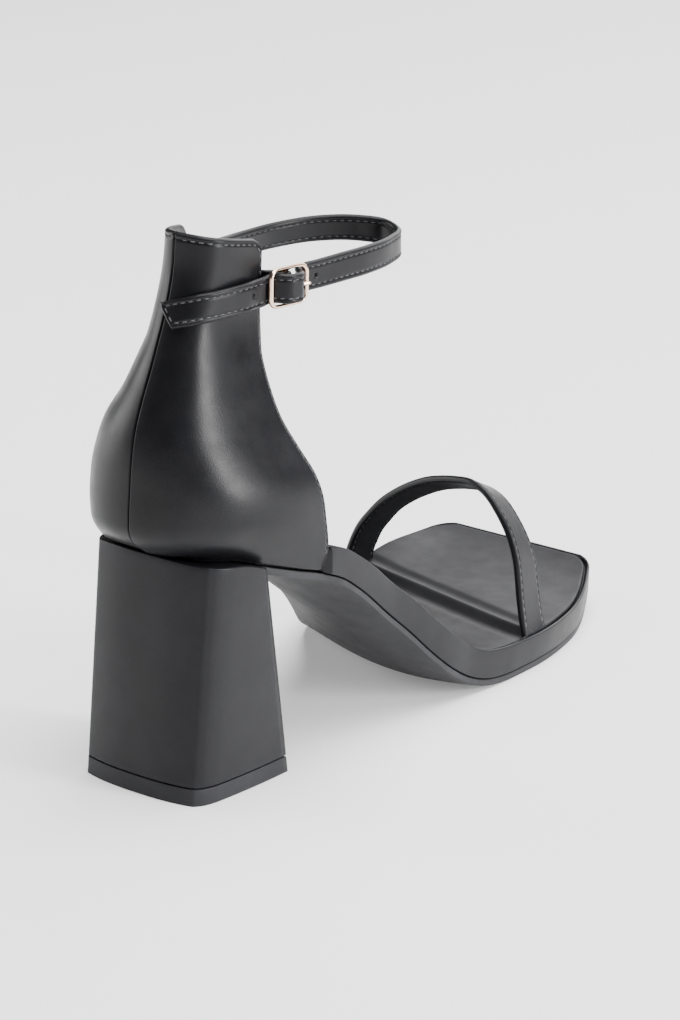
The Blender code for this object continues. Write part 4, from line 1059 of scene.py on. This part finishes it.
def build_ankle_strap():
    """Looped strap with folded edges, stitches and punched holes."""
    band = Band(strap_route())
    end = float(band.length[-1])
    holes = [band.nearest(at_buckle(-FREE_HOLE, STRAP_UNDER)),
             band.nearest(at_buckle(-PRONG_HOLE * BAR_PLACE, STRAP_OVER)),
             band.nearest(at_buckle(TAIL_HOLE, STRAP_UNDER))]
    tail = end - np.array(rim_steps(STRAP_EDGE)[::-1])
    head = np.array(rim_steps(STRAP_EDGE))
    plain = np.linspace(0.0012, end - 0.0012, 330)
    fine = np.concatenate([hole + np.linspace(-1.4, 1.4, 15) * MM for hole in holes])
    plain = np.array([p for p in plain if min(abs(p - hole) for hole in holes) > HOLE_ROOM])
    places = np.unique(np.concatenate([head, plain, fine, tail]))
    half_width = 0.5 * STRAP_WIDTH
    edge_list = across_list(STRAP_WIDTH, STRAP_EDGE)
    middle_list = np.linspace(-1.4, 1.4, 13) * MM + half_width
    widths = np.unique(np.concatenate([edge_list[edge_list < 0.0026], middle_list,
                                       edge_list[edge_list > STRAP_WIDTH - 0.0026]]))
    across = widths - half_width
    slant = TIP_SLANT * (0.5 - across / STRAP_WIDTH)
    shift = slant[None, :] * np.maximum(0.0, 1.0 - (end - places) / (4.0 * TIP_SLANT))[:, None]
    spots = places[:, None] - shift
    middle, upward, outward = band.frame_at(spots)
    flat = middle + across[None, :, None] * upward
    distance = np.minimum(widths, STRAP_WIDTH - widths)[None, :] + 0.0 * spots
    to_end = np.minimum(places, end - places)[:, None] + 0.0 * distance
    edge = roll(np.minimum(distance, to_end), STRAP_EDGE)
    fold = np.minimum(distance, (end - places)[:, None] + 0.0 * distance)
    lift = 0.5 * STRAP_THICK + strap_relief(fold)
    for hole in holes:
        far = np.hypot(spots - hole, across[None, :] + 0.0 * spots) - HOLE_RADIUS
        lift -= HOLE_DEPTH * (1.0 - smooth_step((far + 0.00012) / HOLE_SOFT))
        lift -= DENT_DEPTH * bell(far, DENT_HALF)
    outer, inner = strap_skin("ankle_strap_leather", flat, outward, lift * edge, "ankle_strap")

    stop, rows = end - STRAP_STITCH, (STRAP_STITCH, STRAP_WIDTH - STRAP_STITCH)
    along, crosswise = np.linspace(ANKLE_ROW_START, stop, 420), np.linspace(*rows, 20)
    lines = []
    for grid, way in ((outer, outward), (inner, -outward)):
        lines += [stitch_line(grid, way, places, widths, along, row + 0.0 * along) for row in rows]
        lines.append(stitch_line(grid, way, places, widths, stop + 0.0 * crosswise, crosswise))
    add_stitches("ankle_strap_stitches", lines, ANKLE_STITCH, THREAD)


def build_buckle():
    """Rod frame, centre bar, prong and the folded tab that holds them."""
    points, radii = [], []
    straight = (BAR_PLACE - BUCKLE_CORNER, FRAME_HALF - BUCKLE_CORNER)
    for quarter, (sign_along, sign_up) in enumerate(((1, 1), (-1, 1), (-1, -1), (1, -1))):
        for step in range(13):
            turn = 0.5 * math.pi * (quarter + step / 12.0)
            points.append(at_buckle(sign_along * straight[0] + BUCKLE_CORNER * math.cos(turn), 0.0,
                                    sign_up * straight[1] + BUCKLE_CORNER * math.sin(turn)))
            radii.append(BAR * (1.10 - 0.32 * math.sin(turn) ** 2))
    verts, faces = rod(points, np.array(radii), sides=20, closed=True)
    half = 0.5 * TAB_WIDTH + GAP
    rows = ((FRAME_HALF, 0.0), (0.5 * (FRAME_HALF + half), 0.6), (half, 1.0))
    upper = [at_buckle(0.0, -share * BAR_DROP, up) for up, share in rows]
    lower = [at_buckle(0.0, -share * BAR_DROP, -up) for up, share in reversed(rows)]
    more, quads = rod(smooth_line(upper + lower, 60), 0.96 * BAR, sides=16)
    start = len(verts)
    verts = np.concatenate([verts, more])
    faces = faces + [[v + start for v in face] for face in quads]
    add_mesh("buckle_frame_metal", verts, faces, METAL, "buckle_metal", "buckle_frame")

    turns = [math.radians(angle) for angle in range(50, -181, -23)]
    points = [at_buckle(HOOK * math.cos(turn), HOOK * math.sin(turn) - BAR_DROP) for turn in turns]
    points.append(at_buckle(-1.15 * HOOK, -0.5 * BAR_DROP))
    points += [at_buckle(-share * BAR_PLACE, HOOK * (share - 0.2) / 0.8)
               for share in np.linspace(0.36, 1.0, 6)]
    points.append(at_buckle(-BAR_PLACE - 0.4 * PRONG_ROD, HOOK))
    line = smooth_line(points, 70)
    radii = 0.5 * PRONG_ROD * np.sqrt(np.clip(1.0 - np.linspace(0.0, 1.0, 70) ** 24, 0.12, 1.0))
    verts, faces = rod(line, radii, sides=12)
    add_mesh("buckle_prong_metal", verts, faces, METAL, "buckle_metal", "buckle_prong")

    front = float(front_line(LOOP_HEIGHT))
    ring = BAR + GAP + 0.5 * TAB_THICK
    spread = TAB_THICK + GAP

    def inside(back, layer):
        y = front - back * ANCHOR_LENGTH
        depth = GAP + 0.5 * TAB_THICK + layer * spread
        reach = min(inner_reach(LATERAL, y, LOOP_HEIGHT + up * TAB_WIDTH) for up in (-0.5, 0.5))
        return np.array([reach - depth, y, LOOP_HEIGHT])

    centre = at_buckle(0.0, -BAR_DROP)
    edge = inside(0.0, 0.0) + np.array([0.0, 3.0 * GAP + 0.5 * TAB_THICK, 0.0])
    away = (edge - centre) / np.linalg.norm(edge - centre)
    beside = np.cross(away, UP)
    points = [inside(0.9, 0.0), inside(0.5, 0.0), inside(0.15, 0.0), edge,
              centre + 0.55 * (edge - centre) + 0.55 * spread * beside]
    for turn in np.linspace(0.0, math.pi, 9):
        points.append(centre + ring * (math.cos(turn) * beside - math.sin(turn) * away))
    points.append(centre + 0.55 * (edge - centre) - 0.55 * spread * beside)
    points += [edge - spread * OUTWARD * 1.2, inside(0.15, 1.0), inside(0.5, 1.0)]
    band = Band(np.array([(*point, 0.0) for point in points]))
    places = np.linspace(0.0, float(band.length[-1]), 150)
    radius = 0.5 * TAB_THICK
    widths = np.array(rim_steps(radius, 4) + np.linspace(radius, TAB_WIDTH - radius, 14)[1:-1].tolist()
                      + [TAB_WIDTH - d for d in rim_steps(radius, 4)[::-1]])
    middle, upward, outward = band.frame_at(places, reach=0.0002)
    flat = middle[:, None] + (widths - 0.5 * TAB_WIDTH)[None, :, None] * upward[:, None]
    distance = np.minimum(widths, TAB_WIDTH - widths)[None, :]
    ends = np.minimum(places, places[-1] - places)[:, None]
    lift = radius * roll(np.minimum(distance, ends), radius)
    strap_skin("buckle_tab_leather", flat, outward[:, None], lift, "buckle_tab")


# Materials

def new_look(name, colour, roughness, metallic=0.0):
    """Material with its plain values on the shader's own sockets."""
    look = bpy.data.materials.new(name)
    look.use_nodes = True
    shader = look.node_tree.nodes["Principled BSDF"]
    shader.inputs["Base Color"].default_value = (*colour, 1.0)
    shader.inputs["Roughness"].default_value = roughness
    shader.inputs["Metallic"].default_value = metallic
    look.diffuse_color = (*colour, 1.0)
    return look


def texture(look, kind, scale, **values):
    """Texture node read in the object's own metres."""
    tree = look.node_tree
    coordinate = tree.nodes.get("place") or tree.nodes.new("ShaderNodeTexCoord")
    coordinate.name = "place"
    node = tree.nodes.new(kind)
    node.inputs["Scale"].default_value = scale
    for name, value in values.items():
        node.inputs[name].default_value = value
    tree.links.new(coordinate.outputs["Object"], node.inputs["Vector"])
    return node


def spread_of(look, source, low, high):
    """Map a texture's value to a range."""
    node = look.node_tree.nodes.new("ShaderNodeMapRange")
    node.inputs["From Min"].default_value = 0.3
    node.inputs["From Max"].default_value = 0.7
    node.inputs["To Min"].default_value = low
    node.inputs["To Max"].default_value = high
    look.node_tree.links.new(source.outputs["Fac"], node.inputs["Value"])
    return node


def add_bump(look, source, output, depth, before=None):
    """Bump of a depth in metres from a texture, over an earlier one."""
    tree = look.node_tree
    bump = tree.nodes.new("ShaderNodeBump")
    bump.inputs["Strength"].default_value = 1.0
    bump.inputs["Distance"].default_value = depth
    tree.links.new(source.outputs[output], bump.inputs["Height"])
    if before is not None:
        tree.links.new(before.outputs["Normal"], bump.inputs["Normal"])
    tree.links.new(bump.outputs["Normal"], tree.nodes["Principled BSDF"].inputs["Normal"])
    return bump


def leather(name, colour, light, roughness, coat, grain=0.000020, pebble=0.00045):
    """Smooth black leather look with a fine grain and slight changes of colour and gloss."""
    look = new_look(name, colour, roughness)
    tree = look.node_tree
    shader = tree.nodes["Principled BSDF"]
    shader.inputs["Specular IOR Level"].default_value = 0.18
    shader.inputs["Coat Weight"].default_value = coat
    shader.inputs["Coat Roughness"].default_value = 0.34
    cloud = texture(look, "ShaderNodeTexNoise", 60.0, Detail=4.0, Roughness=0.55)
    mix = tree.nodes.new("ShaderNodeMix")
    mix.data_type = "RGBA"
    mix.inputs["A"].default_value = (*colour, 1.0)
    mix.inputs["B"].default_value = (*light, 1.0)
    share = spread_of(look, cloud, 0.0, 1.0)
    tree.links.new(share.outputs["Result"], mix.inputs["Factor"])
    tree.links.new(mix.outputs["Result"], shader.inputs["Base Color"])
    patch = texture(look, "ShaderNodeTexNoise", 140.0, Detail=3.0, Roughness=0.6)
    rough = spread_of(look, patch, roughness - 0.04, roughness + 0.05)
    tree.links.new(rough.outputs["Result"], shader.inputs["Roughness"])
    cells = texture(look, "ShaderNodeTexVoronoi", 1.0 / pebble, Randomness=1.0)
    first = add_bump(look, cells, "Distance", grain)
    fine = texture(look, "ShaderNodeTexNoise", 5200.0, Detail=3.0, Roughness=0.6)
    add_bump(look, fine, "Fac", 0.6 * grain, before=first)
    return look


UPPER = leather("upper_leather", (0.004, 0.004, 0.005), (0.007, 0.007, 0.0085), 0.36, 0.03)
WRAP = leather("wrap_leather", (0.006, 0.006, 0.0075), (0.009, 0.009, 0.011), 0.40, 0.02)
SOCK = leather("sock_leather", (0.009, 0.009, 0.0105), (0.014, 0.014, 0.016), 0.50, 0.0)
THREAD = leather("thread", (0.045, 0.045, 0.048), (0.080, 0.080, 0.084), 0.48, 0.0, grain=0.000015,
                 pebble=0.0002)
OUTSOLE_LOOK = leather("outsole_rubber", (0.024, 0.024, 0.026), (0.032, 0.032, 0.035), 0.58, 0.0,
                       grain=0.000012, pebble=0.0003)
LIFT_LOOK = leather("lift_rubber", (0.016, 0.016, 0.018), (0.022, 0.022, 0.025), 0.55, 0.0,
                    grain=0.000012, pebble=0.0003)


def metal_look():
    """Polished rose gold plating with faint wear."""
    look = new_look("rose_gold", (0.84, 0.59, 0.46), 0.20, metallic=1.0)
    haze = texture(look, "ShaderNodeTexNoise", 900.0, Detail=3.0, Roughness=0.6)
    rough = spread_of(look, haze, 0.14, 0.26)
    shader = look.node_tree.nodes["Principled BSDF"]
    look.node_tree.links.new(rough.outputs["Result"], shader.inputs["Roughness"])
    scratches = texture(look, "ShaderNodeTexNoise", 6000.0, Detail=2.0, Roughness=0.5)
    add_bump(look, scratches, "Fac", 0.000003)
    return look


METAL = metal_look()


# The stage

FLOOR_REACH = 9.0
LIGHT_AIM = (0.0, -0.03, 0.07)
VIEW_PLACE = (0.600309, -0.739895, 0.399084)    # the camera, in the sandal's own frame
VIEW_ANGLES = (39.481, 16.837, 0.207)           # its azimuth, height above the floor and roll
FOCAL_LENGTH = 3565.02     # pixels of the photo, which is 1020 of them high
PHOTO_HEIGHT = 1020.0
SENSOR = 36.0              # millimetres
PAN = 223.0                # pixels that the view turns by, so that the whole shoe is in it
TILT = -88.0


def build_floor():
    """Plain pale floor under an even sky."""
    mesh = bpy.data.meshes.new("floor")
    mesh.from_pydata([(-FLOOR_REACH, -FLOOR_REACH, 0.0), (FLOOR_REACH, -FLOOR_REACH, 0.0),
                      (FLOOR_REACH, FLOOR_REACH, 0.0), (-FLOOR_REACH, FLOOR_REACH, 0.0)],
                     [], [(0, 1, 2, 3)])
    floor = bpy.data.objects.new("floor", mesh)
    bpy.context.scene.collection.objects.link(floor)
    look = new_look("pale_floor", (0.80, 0.80, 0.80), 0.7)
    shader = look.node_tree.nodes["Principled BSDF"]
    shader.inputs["Specular IOR Level"].default_value = 0.2
    shader.inputs["Emission Color"].default_value = (1.0, 1.0, 1.0, 1.0)
    shader.inputs["Emission Strength"].default_value = 0.20
    mesh.materials.append(look)

    world = bpy.data.worlds.new("studio")
    bpy.context.scene.world = world
    world.use_nodes = True
    background = world.node_tree.nodes["Background"]
    background.inputs["Color"].default_value = (0.80, 0.80, 0.80, 1.0)
    background.inputs["Strength"].default_value = 0.10


def softbox(name, azimuth, elevation, distance, width, height, power):
    """Area light that faces the shoe from a direction."""
    light = bpy.data.lights.new(name, "AREA")
    light.shape = "RECTANGLE"
    light.size = width
    light.size_y = height
    light.energy = power
    lamp = bpy.data.objects.new(name, light)
    a, e = math.radians(azimuth), math.radians(elevation)
    away = Vector((math.sin(a) * math.cos(e), -math.cos(a) * math.cos(e), math.sin(e)))
    lamp.location = Vector(LIGHT_AIM) + distance * away
    lamp.rotation_euler = (-away).to_track_quat("-Z", "Y").to_euler()
    bpy.context.scene.collection.objects.link(lamp)


def build_lights():
    """Narrow light from the outer side, and wide ones at the left, above and behind."""
    softbox("key", 99.0, 17.0, 1.6, 0.38, 0.9, 44.0)
    softbox("left", -72.0, 12.0, 1.8, 1.1, 1.3, 30.0)
    softbox("top", 120.0, 80.0, 1.7, 1.8, 1.8, 94.0)
    softbox("back", 185.0, 28.0, 2.2, 2.2, 1.4, 50.0)


def build_camera():
    """Camera at the photo's place, turned so that the one shoe is in view."""
    data = bpy.data.cameras.new("camera")
    data.sensor_width = SENSOR
    data.lens = FOCAL_LENGTH * SENSOR / PHOTO_HEIGHT
    data.clip_start = 0.05
    camera = bpy.data.objects.new("camera", data)
    bpy.context.scene.collection.objects.link(camera)
    azimuth, height, lean = (math.radians(angle) for angle in VIEW_ANGLES)
    level = np.array([math.cos(azimuth), math.sin(azimuth), 0.0])
    forward = np.array([-math.sin(azimuth) * math.cos(height),
                        math.cos(azimuth) * math.cos(height), -math.sin(height)])
    right = math.cos(lean) * level + math.sin(lean) * np.cross(level, forward)
    up = np.cross(right, forward)
    forward = unit(forward + (PAN * right + TILT * up) / FOCAL_LENGTH)
    right = unit(right - np.dot(right, forward) * forward)
    up = np.cross(right, forward)
    turned = Matrix(np.stack([right, up, -forward], axis=1).tolist()).to_4x4()
    camera.matrix_world = Matrix.Translation(np.array(VIEW_PLACE) + OFFSET) @ turned
    bpy.context.scene.camera = camera


build_floor()
build_lights()
build_camera()
COUNTER_INNER = build_counter()
build_sole()
heel_solid("heel_cover", LIFT_THICK + GAP, lambda x, y: underside(x, y) - GAP, 0.0005, 40,
           WRAP, "wrap", "heel_block")
heel_solid("lift_rubber_piece", 0.0, lambda x, y: LIFT_THICK + 0.0 * x, 0.0003, 6,
           LIFT_LOOK, "lift_rubber", "top_lift")
build_toe_strap()
build_ankle_strap()
build_buckle()
